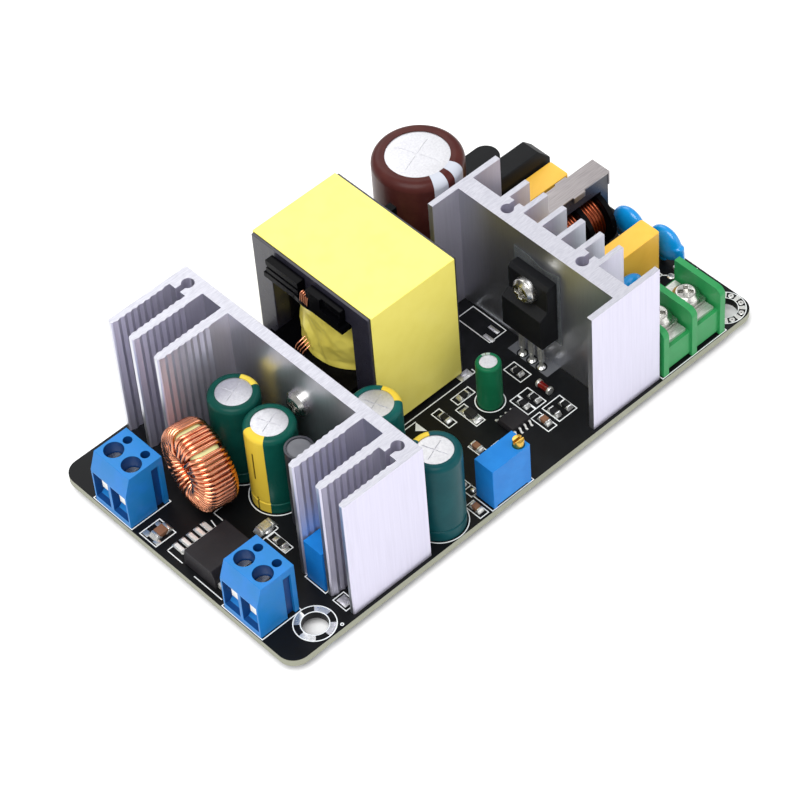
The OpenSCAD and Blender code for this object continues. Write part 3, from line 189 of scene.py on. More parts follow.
# clouds and grain are per metre, depths in metres; stray is how far the roughness wanders either way
mouldingLook = {"cloud": 260, "mottled": (0.42, 0.78), "stray": (-0.06, 0.10), "depth": 0.00002, "strength": 0.35}
metalLook = {"mottled": (0.35, 0.75), "stray": (-0.07, 0.12), "strength": 0.5}
boardLook = {"mask": "08090b", "cloud": 120, "cloudColour": "0f1114", "mottled": (0.45, 0.75), "grain": 3500,
             "depth": 0.00001, "strength": 0.4, "laminate": "8f907f", "upright": 0.5,
             "ends": 59.5, "sides": 31.8, "corners": 88.0}  # how far out the edge begins, in millimetres
filmLook = {"colour": "5d6164", "haze": "74787a", "alpha": 0.5, "cloud": 900, "mottled": (0.4, 0.8),
            "rough": (0.14, 0.32), "grain": 500, "depth": 0.00004, "strength": 0.4}
sleeveLook = {"rough": 0.3, "specular": 0.1, "cloud": 300, "mottled": (0.4, 0.8), "grain": 2500, "depth": 0.00002,
              "strength": 0.3}


def plainMoulding(name, colour, mottle, roughness=0.45, grain=6000, coat=0.0, specular=0.3):
    finish, look = Finish(name, colour, roughness, coat=coat, specular=specular), mouldingLook
    finish.mix(finish.ramp(finish.noise(look["cloud"], detail=3), *look["mottled"]), mottle)
    fine = finish.noise(grain)
    finish.roughen(fine, *(roughness + stray for stray in look["stray"]))
    finish.bump(fine, look["depth"], look["strength"])
    return finish


def bareMetal(name, colour, mottle, roughness=0.3, stretch=(1, 1, 1), perMetre=3000, depth=0.00002, metallic=1.0,
              spread=1.0):
    finish, look = Finish(name, colour, roughness, metallic=metallic), metalLook
    streak = finish.noise(perMetre, stretch, detail=3)
    finish.mix(finish.ramp(streak, *look["mottled"]), mottle)
    finish.roughen(streak, *(roughness + stray * spread for stray in look["stray"]))
    finish.bump(streak, depth, look["strength"])
    return finish


def boardFinish(look):
    finish = Finish("boardMask", look["mask"], roughness=0.45, specular=0.16)
    finish.mix(finish.ramp(finish.noise(look["cloud"], detail=5), *look["mottled"]), look["cloudColour"])
    finish.bump(finish.noise(look["grain"]), look["depth"], look["strength"])
    source = finish.add("ShaderNodeTexCoord")
    facing = finish.add("ShaderNodeSeparateXYZ")
    finish.link(source.outputs["Normal"], facing.inputs[0])
    where = finish.add("ShaderNodeSeparateXYZ")
    finish.link(source.outputs["Object"], where.inputs[0])
    upright = finish.calc("LESS_THAN", finish.calc("ABSOLUTE", facing.outputs["Z"]), look["upright"])
    along, across = finish.calc("ABSOLUTE", where.outputs["X"]), finish.calc("ABSOLUTE", where.outputs["Y"])
    ends = finish.calc("GREATER_THAN", along, look["ends"] * mm)
    sides = finish.calc("GREATER_THAN", across, look["sides"] * mm)
    corners = finish.calc("GREATER_THAN", finish.calc("ADD", along, across), look["corners"] * mm)
    rim = finish.calc("MAXIMUM", finish.calc("MAXIMUM", ends, sides), corners)
    finish.mix(finish.calc("MULTIPLY", upright, rim), look["laminate"])  # bare laminate outside, dark in the holes
    return finish


def clearFilm(look):
    finish = Finish("greyPad", look["colour"], roughness=0.2)
    finish.put("Alpha", look["alpha"])
    haze = finish.noise(look["cloud"], detail=3)
    finish.mix(finish.ramp(haze, *look["mottled"]), look["haze"])
    finish.roughen(haze, *look["rough"])
    finish.bump(finish.noise(look["grain"]), look["depth"], look["strength"])
    return finish


finishes = {
    "boardMask": boardFinish(boardLook),
    "silkInk": plainMoulding("silkInk", "dfe2e2", "c9cdcd", 0.55),
    "solderTin": bareMetal("solderTin", "dededb", "c6c7c4", 0.26, perMetre=1800, metallic=0.85),
    "extrudedAluminium": bareMetal("extrudedAluminium", "cdcadb", "c7c4d5", 0.38, (1, 1, 0.03), 3000, 0.0000012,
                                   metallic=0.72, spread=0.5),
    "plateAluminium": bareMetal("plateAluminium", "cfd0d6", "c8c9cf", 0.3, (1, 1, 0.08), 2000, 0.0000008,
                                metallic=0.95, spread=0.3),
    "sawnAluminium": bareMetal("sawnAluminium", "cdcdd5", "b9b9c3", 0.5, (0.12, 1, 1), 6000, 0.000008),
    "platedSteel": bareMetal("platedSteel", "c9c8c4", "a9a7a2", 0.24, perMetre=2500),
    "clampSteel": bareMetal("clampSteel", "aaa4a4", "8b8688", 0.34, (0.05, 1, 1), 5000),
    "tinnedMetal": bareMetal("tinnedMetal", "dcdcd8", "c3c3be", 0.30, perMetre=2200, metallic=0.82),
    "leadTin": bareMetal("leadTin", "e4e4e1", "d2d2ce", 0.3, perMetre=2200, metallic=0.5),
    "blackEpoxy": plainMoulding("blackEpoxy", "0e0f11", "131417", 0.5, specular=0.18),
    "greyEpoxy": plainMoulding("greyEpoxy", "1d1b1e", "242225", 0.5, specular=0.2),
    "blackNylon": plainMoulding("blackNylon", "050507", "09090b", 0.14, specular=0.04),
    "greyPad": clearFilm(filmLook),
    "greyField": plainMoulding("greyField", "5a5c61", "515357", 0.5),
    "darkFerrite": plainMoulding("darkFerrite", "2a2934", "24232c", 0.28, 2500, specular=0.5),
    "yellowTape": plainMoulding("yellowTape", "ecdf70", "e8da68", 0.32, 1200, coat=0.15),
    "windingTape": plainMoulding("windingTape", "f0e068", "e2cf55", 0.3, 1500, coat=0.25),
    "canMetal": bareMetal("canMetal", "d2d2d6", "c4c4c9", 0.4, perMetre=2500, depth=0.000008),
    "darkSleeve": plainMoulding("darkSleeve", "23242c", "2b2c35", 0.30, 2500, coat=0.2),
    "powderCoat": plainMoulding("powderCoat", "d3d39a", "c5c78c", 0.5, 2500),
    "enamelCopper": bareMetal("enamelCopper", "ea9f7c", "da8a64", 0.2, perMetre=700, depth=0.000001),
    "blueNylon": plainMoulding("blueNylon", "1670b2", "1b72c0", 0.38),
    # painted shade: a darker copy of the terminal blue, laid on the faces inside the terminals' openings and wells
    "paintedShadeBlue": plainMoulding("paintedShadeBlue", "0a3a73", "0d417d", 0.4),
    "greenNylon": plainMoulding("greenNylon", "248247", "2a8a4d", 0.36),
    "turnedBrass": bareMetal("turnedBrass", "d8b055", "bd9440", 0.26, perMetre=3000),
    "yellowBox": plainMoulding("yellowBox", "e4b344", "deac3c", 0.34, coat=0.2),
    "blueEpoxy": plainMoulding("blueEpoxy", "0a80c4", "108bd0", 0.22, 900, coat=0.4),
    "redGlass": plainMoulding("redGlass", "4a0909", "6e1411", 0.1, 3000, coat=0.6),
    "chipBlack": plainMoulding("chipBlack", "0f0f11", "171719", 0.4),
    "chipBrown": plainMoulding("chipBrown", "7a5640", "6a4834", 0.45),
    "clampTin": bareMetal("clampTin", "e4e4e2", "d2d2d0", 0.4, perMetre=2200),
    "chokeCopper": bareMetal("chokeCopper", "8f4a30", "6a2f20", 0.28, perMetre=900),
    "drumFerrite": plainMoulding("drumFerrite", "5a5b60", "6a6b70", 0.45, 2500),
    "blueTrimmer": plainMoulding("blueTrimmer", "126eba", "1978c4", 0.42, specular=0.2),
}


def printedSleeve(name, colour, mottle, ink, middle, halfWidth, bar):
    # a shrink sleeve with an upright printed stripe, centred on its capacitor's axis; angles in degrees
    look = sleeveLook
    finish = Finish("sleeve" + name[0].upper() + name[1:], colour, look["rough"], specular=look["specular"])
    finish.mix(finish.ramp(finish.noise(look["cloud"], detail=3), *look["mottled"]), mottle)
    finish.bump(finish.noise(look["grain"]), look["depth"], look["strength"])
    rotated = finish.add("ShaderNodeVectorRotate", rotation_type="Z_AXIS", Angle=-math.radians(middle))
    finish.link(finish.coords(shift=-place(*capAxes[name])), rotated.inputs["Vector"])
    parts = finish.add("ShaderNodeSeparateXYZ")
    finish.link(rotated.outputs["Vector"], parts.inputs[0])
    spread = finish.calc("ABSOLUTE", finish.calc("ARCTAN2", parts.outputs["Y"], parts.outputs["X"]))
    finish.mix(finish.calc("LESS_THAN", spread, math.radians(halfWidth)), ink)
    # minus bars down the stripe: half width in degrees, the rest in millimetres
    narrow = finish.calc("LESS_THAN", spread, math.radians(bar["halfWidth"]))
    down = finish.calc("PINGPONG", parts.outputs["Z"], bar["pitch"] / 2 * mm)
    short = finish.calc("LESS_THAN", down, bar["length"] / 2 * mm)
    below = finish.calc("LESS_THAN", parts.outputs["Z"], bar["below"] * mm)
    finish.mix(finish.calc("MULTIPLY", finish.calc("MULTIPLY", narrow, short), below), bar["ink"])
    return finish


minusBar = {"halfWidth": 2.2, "pitch": 12.0, "length": 7.0, "below": 18.0, "ink": "5a4a18"}
bulkBar = {"halfWidth": 5.5, "pitch": 30.0, "length": 22.0, "below": 60.0, "ink": "46211f"}
sleevePrint = {  # sleeve, its mottle, the stripe's ink, middle and half width, its bars
    "insideFar": ("0b3f38", "10483f", "d8c04a", 6, 25, minusBar),
    "insideNear": ("0a453c", "0e4d42", "d2b53c", 184, 30, minusBar),
    "outsideNear": ("0b4045", "10484c", "d2b53c", 82, 20, minusBar),
    "outsideFar": ("0f4d49", "145652", "d2b53c", -4, 32, minusBar),
    "bulk": ("43201e", "4c2723", "b4b8c2", -88, 25, bulkBar),
    "bias": ("115c3c", "176544", "9fb0a8", 60, 24, minusBar),
}
sleeveFinishes = {name: printedSleeve(name, *colours) for name, colours in sleevePrint.items()}
print("finishes made:", len(finishes) + len(sleeveFinishes))


def coat(piece, *finishNames):
    piece.data.materials.clear()
    for finishName in finishNames:
        piece.data.materials.append(finishes[finishName].material)
    return piece


def settle(piece, slotName, *replaced, body="board"):
    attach(piece, body)
    if replaced:
        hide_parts(*replaced)
    return piece


# modelling helpers; angles in degrees, merging distances in metres
edgeStyle = {"segments": 2, "sharp": 40, "smooth": 38, "merge": 0.000001, "flat": 0.6}
spinMerge = 0.000002
roundSmooth = 60  # for wires and domes


def editAll(piece):
    activate(piece)
    bpy.ops.object.mode_set(mode="EDIT")
    bpy.ops.mesh.select_all(action="SELECT")


def applyModifier(piece, kind, **settings):
    activate(piece)
    modifier = piece.modifiers.new(kind.lower(), kind)
    for key, value in settings.items():
        setattr(modifier, key, value)
    bpy.ops.object.modifier_apply(modifier=modifier.name)


def smoothOver(piece, degrees=edgeStyle["smooth"]):
    activate(piece)
    bpy.ops.object.shade_smooth_by_angle(angle=math.radians(degrees))
    return piece


def plainName(node):
    words = node.split("_")
    return words[0] + "".join(word.capitalize() for word in words[1:])


def copyNode(node):  # a merged copy of a CAD node's mesh, as a new piece
    piece = bpy.data.objects.new(plainName(node), nodes[node].data.copy())
    bpy.context.scene.collection.objects.link(piece)
    activate(piece)
    bpy.ops.mesh.customdata_custom_splitnormals_clear()
    editAll(piece)
    bpy.ops.mesh.remove_doubles(threshold=edgeStyle["merge"])
    bpy.ops.mesh.dissolve_limited(angle_limit=math.radians(edgeStyle["flat"]))
    bpy.ops.object.mode_set(mode="OBJECT")
    return piece


def softenNode(node, width, smooth=edgeStyle["smooth"]):  # the CAD shape with its sharp edges rounded off
    piece = copyNode(node)
    applyModifier(piece, "BEVEL", width=width * mm, segments=edgeStyle["segments"], limit_method="ANGLE",
                  angle_limit=math.radians(edgeStyle["sharp"]), use_clamp_overlap=True)
    smoothOver(piece, smooth)
    applyModifier(piece, "WEIGHTED_NORMAL", keep_sharp=True)
    return piece


def joinAll(pieces, name):
    deselectAll()
    for piece in pieces:
        piece.select_set(True)
    bpy.context.view_layer.objects.active = pieces[0]
    bpy.ops.object.join()
    joined = bpy.context.object
    joined.name = name
    bpy.ops.object.transform_apply(location=True, rotation=True, scale=True)
    return joined


def turnProfile(name, profile, axis, steps):  # (radius, height) points spun round a standing axis
    deselectAll()
    first = axis + Vector((profile[0][0] * mm, 0, profile[0][1] * mm))
    bpy.ops.mesh.primitive_plane_add(size=mm, location=first)
    piece = bpy.context.object
    piece.name = name
    bpy.ops.object.transform_apply(location=True, rotation=True, scale=True)
    editAll(piece)
    bpy.ops.mesh.merge(type="CENTER")
    for start, end in zip(profile, profile[1:]):
        step = ((end[0] - start[0]) * mm, 0, (end[1] - start[1]) * mm)
        bpy.ops.mesh.extrude_region_move(TRANSFORM_OT_translate={"value": step})
    bpy.ops.mesh.select_all(action="SELECT")
    bpy.ops.mesh.spin(steps=steps, angle=math.tau, center=axis, axis=(0, 0, 1))
    bpy.ops.mesh.select_all(action="SELECT")
    bpy.ops.mesh.remove_doubles(threshold=spinMerge)
    bpy.ops.mesh.normals_make_consistent(inside=False)
    bpy.ops.object.mode_set(mode="OBJECT")
    return piece


def wire(name, path, diameter, sides):  # a round wire along points, as a mesh
    deselectAll()
    curve = bpy.data.curves.new(name, "CURVE")
    curve.dimensions = "3D"
    curve.bevel_depth = diameter / 2 * mm
    curve.bevel_resolution = sides
    curve.use_fill_caps = True
    spline = curve.splines.new("POLY")
    spline.points.add(len(path) - 1)
    for point, where in zip(spline.points, path):
        point.co = (*where, 1.0)
    piece = bpy.data.objects.new(name, curve)
    bpy.context.scene.collection.objects.link(piece)
    activate(piece)
    bpy.ops.object.convert(target="MESH")
    return smoothOver(bpy.context.object, roundSmooth)


def block(name, low, high, width):  # a box between two board places, its edges rounded off
    deselectAll()
    a, b = place(*low), place(*high)
    bpy.ops.mesh.primitive_cube_add(size=1, location=(a + b) / 2, scale=b - a)
    piece = bpy.context.object
    piece.name = name
    bpy.ops.object.transform_apply(location=True, rotation=True, scale=True)
    editAll(piece)
    bpy.ops.mesh.bevel(offset=width * mm, segments=edgeStyle["segments"], affect="EDGES")
    bpy.ops.object.mode_set(mode="OBJECT")
    return smoothOver(piece)


# CAD shapes that are right as they are, with a finish of their own
nodeFinish = {
    "solderTin": ["solder_joints"],
    "platedSteel": ["heatsink_screws", "rectifier_screw", "rectifier_nut"],
    "tinnedMetal": ["transformer_pins", "trimmer_pins", "bridge_leads", "line_part_leads", "rectifier_leadframe"],
    "darkFerrite": ["choke_core"],
    "chokeCopper": ["choke_windings"],
    "boardMask": ["circuit_board"],
}
for finishName, names in nodeFinish.items():
    for name in names:
        coat(nodes[name], finishName)
print("CAD nodes dressed")

# CAD shapes whose moulded, cut or stamped edges are rounded off: finish, then node and edge width
softEdges = {
    "extrudedAluminium": {"output_heatsink": 0.09, "input_heatsink": 0.09},
    "platedSteel": {"switch_screw": 0.12, "output_terminal_screws": 0.08, "input_terminal_washers": 0.08,
                    "input_terminal_screws": 0.12},
    "clampSteel": {"choke_clamp": 0.08},
    "clampTin": {"output_terminal_clamps": 0.1},
    "tinnedMetal": {"input_terminal_plates": 0.1, "switch_leads": 0.08},
    "leadTin": {"regulator_leadframe": 0.1, "controller_leads": 0.05},
    "blackEpoxy": {"switch_body": 0.16, "rectifier_body": 0.16, "bridge_body": 0.3, "input_fuse": 0.4},
    "greyEpoxy": {"regulator_body": 0.16, "controller_chip": 0.1},
    "blackNylon": {"transformer_bobbin": 0.24, "choke_bobbin": 0.2},
    "darkFerrite": {"transformer_core": 0.3},
    "yellowTape": {"transformer_tape": 0.14},
    "drumFerrite": {"drum_choke_core": 0.1},
    "darkSleeve": {"drum_choke_sleeve": 0.1},
    "blueNylon": {"near_output_terminal": 0.16, "far_output_terminal": 0.16},
    "blueTrimmer": {"front_trimmer_body": 0.14, "rear_trimmer_body": 0.14},
    "greenNylon": {"input_terminal": 0.16},
    "turnedBrass": {"front_trimmer_screw": 0.08, "rear_trimmer_screw": 0.08},
    "yellowBox": {"front_film_capacitor": 0.3, "rear_film_capacitor": 0.3},
    "chipBlack": {"chip_resistors": 0.1},
    "chipBrown": {"chip_capacitors": 0.12},
    "solderTin": {"chip_terminals": 0.16},
}
extrusionEnds = {"smooth": 24, "sawn": 0.7, "plate": 0.9}  # how squarely a face looks up or along the board
# where the painted shade goes inside the output terminals: margin, mouth, rim and floor in millimetres, upright and
# level as face tilts
terminalPaintedShade = {"margin": 0.45, "mouth": 0.25, "rim": 0.2, "floor": 8.2, "upright": 0.15, "level": 0.9}
oddChips = [  # finish: its place among the piece's finishes
    {"at": (17.3, 27.2), "reach": 2.2, "finish": 1}, {"at": (74.2, 9.2), "reach": 1.4, "finish": 2}]
controllerAt = (67.1, 12.6)


def paintShadeInside(piece, node, shade):  # painted shade: faces inside the wire openings and screw wells get the darker blue, standing in for the shadow there
    low, high = (Vector(corner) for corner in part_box(node))
    margin = shade["margin"] * mm
    for face in piece.data.polygons:
        at, normal = face.center, face.normal
        within = low.y + margin < at.y < high.y - margin and low.x + shade["mouth"] * mm < at.x < high.x - margin
        upright = abs(normal.z) < shade["upright"] and at.z < high.z - shade["rim"] * mm
        level = abs(normal.z) > shade["level"] and at.z < low.z + shade["floor"] * mm
        face.material_index = int(within and (upright or level))


def dullEnds(piece, ends):  # the sawn ends of an extrusion are duller than its sides
    for face in piece.data.polygons:
        sawn, plate = abs(face.normal.z) > ends["sawn"], abs(face.normal.x) > ends["plate"]
        face.material_index = 1 if sawn else 2 if plate else 0


def markOddChips(piece, chips):  # one large part is tinned all over, one is dark
    for face in piece.data.polygons:
        for chip in chips:
            if (face.center.xy - place(*chip["at"]).xy).length < chip["reach"] * mm:
                face.material_index = chip["finish"]


def quarterTurn(piece, x, y):  # turns a piece where it stands
    editAll(piece)
    bpy.ops.transform.rotate(value=math.radians(90), orient_axis="Z", center_override=place(x, y))
    bpy.ops.object.mode_set(mode="OBJECT")


for finishName, widths in softEdges.items():
    for node, width in widths.items():
        extruded = finishName == "extrudedAluminium"
        piece = softenNode(node, width, smooth=extrusionEnds["smooth"] if extruded else edgeStyle["smooth"])
        coat(piece, finishName)
        if extruded:
            coat(piece, "extrudedAluminium", "sawnAluminium", "plateAluminium")
            dullEnds(piece, extrusionEnds)
        if node.endswith("output_terminal"):
            # the moulding's own blue outside, painted shade inside the openings and wells
            coat(piece, "blueNylon", "paintedShadeBlue")
            paintShadeInside(piece, node, terminalPaintedShade)
        if node == "chip_capacitors":
            coat(piece, "chipBrown", "solderTin", "chipBlack")
            markOddChips(piece, oddChips)
        if node.startswith("controller"):  # its two rows of leads lie along the board
            quarterTurn(piece, *controllerAt)
        settle(piece, slotOf[node], node, body=bodyOf[node])
print("edges rounded off")

# glass diode: tinned caps on a red glass tube
diodeEnds = {"middle": 14.4, "glassHalf": 1.1, "edge": 0.2}
diodePiece = softenNode("glass_diode", diodeEnds["edge"])
coat(diodePiece, "redGlass", "tinnedMetal")
for face in diodePiece.data.polygons:
    along = abs(face.center.y - place(0, diodeEnds["middle"]).y) / mm
    face.material_index = int(along > diodeEnds["glassHalf"])
settle(diodePiece, "red_glass", "glass_diode")

# capacitor cans: the vent score in each top is only a shallow stamped line
canTops = {
    "bulk_capacitor_can": {"caps": ["bulk"], "reach": 6.0, "score": 0.06},
    "output_capacitor_cans": {
        "caps": ["insideFar", "insideNear", "outsideNear", "outsideFar"], "reach": 3.2, "score": 0.12},
    "bias_capacitor_can": {"caps": ["bias"], "reach": 1.8, "score": 0.02},
}
scoreDepth = (0.01, 0.3)  # how far under the top the solid's score lies
canSmooth = 30
for node, can in canTops.items():
    piece = copyNode(node)
    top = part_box(node)[1].z
    centres = [place(*capAxes[cap]).xy for cap in can["caps"]]
    for vertex in piece.data.vertices:
        near = min((vertex.co.xy - centre).length for centre in centres) < can["reach"] * mm
        if near and top - scoreDepth[1] * mm < vertex.co.z < top - scoreDepth[0] * mm:
            vertex.co.z = top - can["score"] * mm
    smoothOver(piece, canSmooth)
    coat(piece, "canMetal")
    settle(piece, slotOf[node], node)

# electrolytic sleeves: each with its own printed stripe
sleeveCaps = {
    "output_capacitor_sleeves": ["insideFar", "insideNear", "outsideNear", "outsideFar"],
    "bulk_capacitor_sleeve": ["bulk"],
    "bias_capacitor_sleeve": ["bias"],
}
sleeveEdge = 0.06
for node, caps in sleeveCaps.items():
    piece = softenNode(node, sleeveEdge)
    piece.data.materials.clear()
    for cap in caps:
        piece.data.materials.append(sleeveFinishes[cap].material)
    centres = [place(*capAxes[cap]) for cap in caps]
    for face in piece.data.polygons:
        gaps = [(face.center.xy - centre.xy).length for centre in centres]
        face.material_index = gaps.index(min(gaps))
    settle(piece, slotOf[node], node)
print("sleeves printed")

# toroid: a coated core and one wire laid turn beside turn, in two layers inside the bore
toroidCoil = {"centre": (14.7, 40.65, 9.6), "turn": -9.0, "turns": 48, "first": 8.0, "last": 352.0, "wire": 0.9,
              "sides": 3, "outside": 8.35, "inside": (3.95, 3.1), "layers": (0, 1), "lift": 0.45, "half": 3.5,
              "bend": 1.9, "leads": ((12.96, 42.8), (17.84, 38.98)), "leadEnds": (-1.4, 0.5),
              "windows": {22: 10.0, 27: 5.0}, "shake": 0.12, "seed": 7}
toroidRing = {"inside": 4.5, "outside": 7.75, "half": 2.9, "bend": 1.4, "steps": 96, "smooth": 40}
toroidTurned = Matrix.Rotation(math.radians(toroidCoil["turn"]), 3, "Z") @ Matrix.Rotation(math.radians(90), 3, "Y")
cornerSteps = 4


def corner(radius, height, bend, start):  # a quarter turn, as (radius, height) points
    angles = [math.radians(start + 90 / cornerSteps * k) for k in range(cornerSteps + 1)]
    return [(radius + bend * math.cos(a), height + bend * math.sin(a)) for a in angles]


def toroidPath(coil):
    shake = random.Random(coil["seed"])
    outside, half, bend = coil["outside"], coil["half"], coil["bend"]
    step = (coil["last"] - coil["first"] - sum(coil["windows"].values())) / coil["turns"]

    def ring(radius, height, degrees):
        a = math.radians(degrees)
        spot = Vector((radius * math.cos(a), radius * math.sin(a), height))
        return place(*coil["centre"]) + toroidTurned @ spot * mm

    start, end = coil["leads"]
    under, over = coil["leadEnds"]
    path = [place(*start, under), place(*start, over)]
    degrees = coil["first"]
    for i in range(coil["turns"]):
        layer = coil["layers"][i % len(coil["layers"])]
        inner, rise = coil["inside"][layer] + bend, half + coil["lift"] * layer - bend
        after = degrees + step + coil["windows"].get(i, 0.0) + shake.uniform(-coil["shake"], coil["shake"])
        front = [(outside, bend - half)] + corner(outside - bend, half - bend, bend, 0)
        front += corner(inner, rise, bend, 90)
        back = corner(inner, -rise, bend, 180) + corner(outside - bend, bend - half, bend, 270)
        path += [ring(*point, degrees) for point in front]
        path += [ring(*point, degrees + (after - degrees) * (k + 1) / len(back)) for k, point in enumerate(back)]
        degrees = after
    path += [ring(outside, half - bend, coil["last"]), place(*end, over), place(*end, under)]
    return path


toroidWire = wire("toroidWire", toroidPath(toroidCoil), toroidCoil["wire"], toroidCoil["sides"])
coat(toroidWire, "enamelCopper")
settle(toroidWire, "copper", "toroid_winding")
inner, outer = toroidRing["inside"] + toroidRing["bend"], toroidRing["outside"] - toroidRing["bend"]
flat, bend = toroidRing["half"] - toroidRing["bend"], toroidRing["bend"]
profile = corner(outer, flat, bend, 0) + corner(inner, flat, bend, 90)
profile += corner(inner, -flat, bend, 180) + corner(outer, -flat, bend, 270)
toroidCore = turnProfile("toroidCore", profile + profile[:1], Vector(), toroidRing["steps"])
toroidCore.matrix_world = Matrix.Translation(place(*toroidCoil["centre"])) @ toroidTurned.to_4x4()
activate(toroidCore)
bpy.ops.object.transform_apply(location=True, rotation=True, scale=True)
smoothOver(toroidCore, toroidRing["smooth"])
coat(toroidCore, "powderCoat")
settle(toroidCore, "powder_core", "toroid_core")
print("toroid wound")

# transformer winding: a barrel of tape, creased where it was pulled tight
windingWrap = {"axis": (58.1, 44.3), "outside": 11.28, "inside": 8.3, "low": 10.12, "high": 25.78, "rings": 44,
               "steps": 144, "smooth": 50}
windingFolds = {"fold": 0.6, "crease": 0.26, "reach": 2.2, "lean": (0.05, -0.10, 0.13), "scale": 1.1, "sharp": 2.4,
                "share": 0.8, "fineReach": 7, "fineRise": 0.5, "ease": 1.2, "least": 0.15, "deepest": 0.85,
                "skin": 0.5}


def windingBarrel(wrap, folds):
    low, high, rings = wrap["low"], wrap["high"], wrap["rings"]
    wall = [(wrap["outside"], low + (high - low) * k / rings) for k in range(rings + 1)]
    profile = [(wrap["inside"], low)] + wall + [(wrap["inside"], high), (wrap["inside"], low)]
    barrel = turnProfile("windingBarrel", profile, place(*wrap["axis"]), wrap["steps"])
    centre = place(*wrap["axis"])
    leanX, leanY, leanZ = folds["lean"]
    for vertex in barrel.data.vertices:
        away = vertex.co - centre
        radius = away.xy.length / mm
        if radius < wrap["outside"] - folds["skin"]:  # the inner wall stays plain
            continue
        angle, rise = math.atan2(away.y, away.x), away.z / mm
        x, y = math.cos(angle), math.sin(angle)
        lean = Vector((x * folds["reach"] + rise * leanX, y * folds["reach"] + rise * leanY, rise * leanZ))
        fold = abs(noise.noise(lean * folds["scale"])) * folds["sharp"] * folds["share"]
        fineAt = Vector((x * folds["fineReach"], y * folds["fineReach"], rise * folds["fineRise"] + angle))
        fine = abs(noise.noise(fineAt))
        ease = min(1.0, (rise - low) / folds["ease"], (high - rise) / folds["ease"])
        drop = (folds["fold"] * fold + folds["crease"] * fine) * max(folds["least"], ease)
        away.xy *= (radius - min(drop, folds["deepest"])) / radius
        vertex.co = centre + away
    return smoothOver(barrel, wrap["smooth"])


windingTape = windingBarrel(windingWrap, windingFolds)
coat(windingTape, "windingTape")
settle(windingTape, "yellow_tape", "transformer_winding")

# enamelled ends of the windings, led out between the bobbin's guides and down to its pins
strandWire = {"diameter": 0.32, "sides": 2}
strandBundles = {  # first strand's route, then the step from one strand to the next
    "upper": {"route": [(47.6, 42.3, 25.4), (46.9, 42.3, 26.8), (46.2, 42.4, 28.2), (45.6, 42.6, 29.2),
                        (45.1, 42.7, 28.9), (44.95, 42.8, 27.0)], "step": (0.0, 0.46, 0.05), "count": 5},
    "lower": {"route": [(48.3, 46.7, 11.4), (47.1, 46.9, 10.8), (46.0, 47.0, 10.3), (45.2, 47.0, 8.4),
                        (44.9, 47.0, 4.4)], "step": (0.05, 0.7, 0.1), "count": 4},
}
strands = []
for bundle in strandBundles.values():
    for i in range(bundle["count"]):
        route = [place(*(p[k] + bundle["step"][k] * i for k in range(3))) for p in bundle["route"]]
        strands.append(wire("strand", route, strandWire["diameter"], strandWire["sides"]))
windingStrands = joinAll(strands, "windingStrands")
coat(windingStrands, "enamelCopper")
settle(windingStrands, "copper")
print("transformer wound")

# tinned cage tongues inside the output terminals' wire openings
terminalTongue = {"middles": (13.75, 49.85), "wayPitch": 5.0, "x": (0.75, 2.25), "y": (-2.05, 0.25), "z": (5.3, 8.0),
                  "edge": 0.18}
tongues = []
for middle in terminalTongue["middles"]:
    for side in (-0.5, 0.5):
        y = middle + side * terminalTongue["wayPitch"]
        low = (terminalTongue["x"][0], y + terminalTongue["y"][0], terminalTongue["z"][0])
        high = (terminalTongue["x"][1], y + terminalTongue["y"][1], terminalTongue["z"][1])
        tongues.append(block("tongue", low, high, terminalTongue["edge"]))
terminalTongues = joinAll(tongues, "terminalTongues")
coat(terminalTongues, "clampTin")
settle(terminalTongues, "tinned_metal")

# insulating film behind the power switch: thin, see-through and curled where nothing presses it
switchFilm = {"low": (82.72, 15.45, 6.75), "high": (82.92, 27.55, 25.65), "curl": 0.85, "thick": 0.1,
              "across": 34, "up": 48, "smooth": 50, "pressed": {"near": 16.4, "far": 26.6, "top": 23.3},
              "free": {"near": 0.5, "far": 0.25, "top": 2.4},
              "wave": {"least": 0.12, "most": 0.9, "middle": 19.3, "wide": 3.0}}


def filmSheet(film):
    deselectAll()
    bpy.ops.mesh.primitive_grid_add(x_subdivisions=film["up"], y_subdivisions=film["across"], size=1)
    sheet = bpy.context.object
    sheet.name = "switchFilm"
    pressed, free, wave = film["pressed"], film["free"], film["wave"]
    for vertex in sheet.data.vertices:
        across, rise = vertex.co.y + 0.5, vertex.co.x + 0.5
        y = film["low"][1] + (film["high"][1] - film["low"][1]) * across
        z = film["low"][2] + (film["high"][2] - film["low"][2]) * rise
        loose = max(0.0, (z - pressed["top"]) / free["top"])
        loose += max(0.0, pressed["near"] - y) * free["near"] + max(0.0, y - pressed["far"]) * free["far"]
        swell = wave["least"] + wave["most"] * math.exp(-((y - wave["middle"]) / wave["wide"]) ** 2)
        vertex.co = place(film["high"][0] - film["curl"] * min(1.0, loose) * swell, y, z)
    editAll(sheet)
    bpy.ops.mesh.normals_make_consistent(inside=False)
    bpy.ops.object.mode_set(mode="OBJECT")
    applyModifier(sheet, "SOLIDIFY", thickness=film["thick"] * mm, offset=0)
    return smoothOver(sheet, film["smooth"])


switchFilmSheet = filmSheet(switchFilm)
coat(switchFilmSheet, "greyPad")
settle(switchFilmSheet, "grey_pad", "insulating_pad")

# coated discs: a lens of ceramic, its coating run down over the leads
discShape = {"places": {"front": (102.2, 17.2, 0, 0), "side": (116.7, 21.0, 90, 24), "back": (115.5, 29.6, 90, 0)},
             "wide": 8.1, "thick": 3.5, "z": 5.5, "leadPitch": 5.0, "tail": (0.9, 2.2), "tailEnd": 0.6, "flat": 0.62,
             "low": 0.9, "voxel": 0.16, "lensSides": (48, 32), "tailSides": 24,
             "ease": {"factor": 0.5, "iterations": 34}}


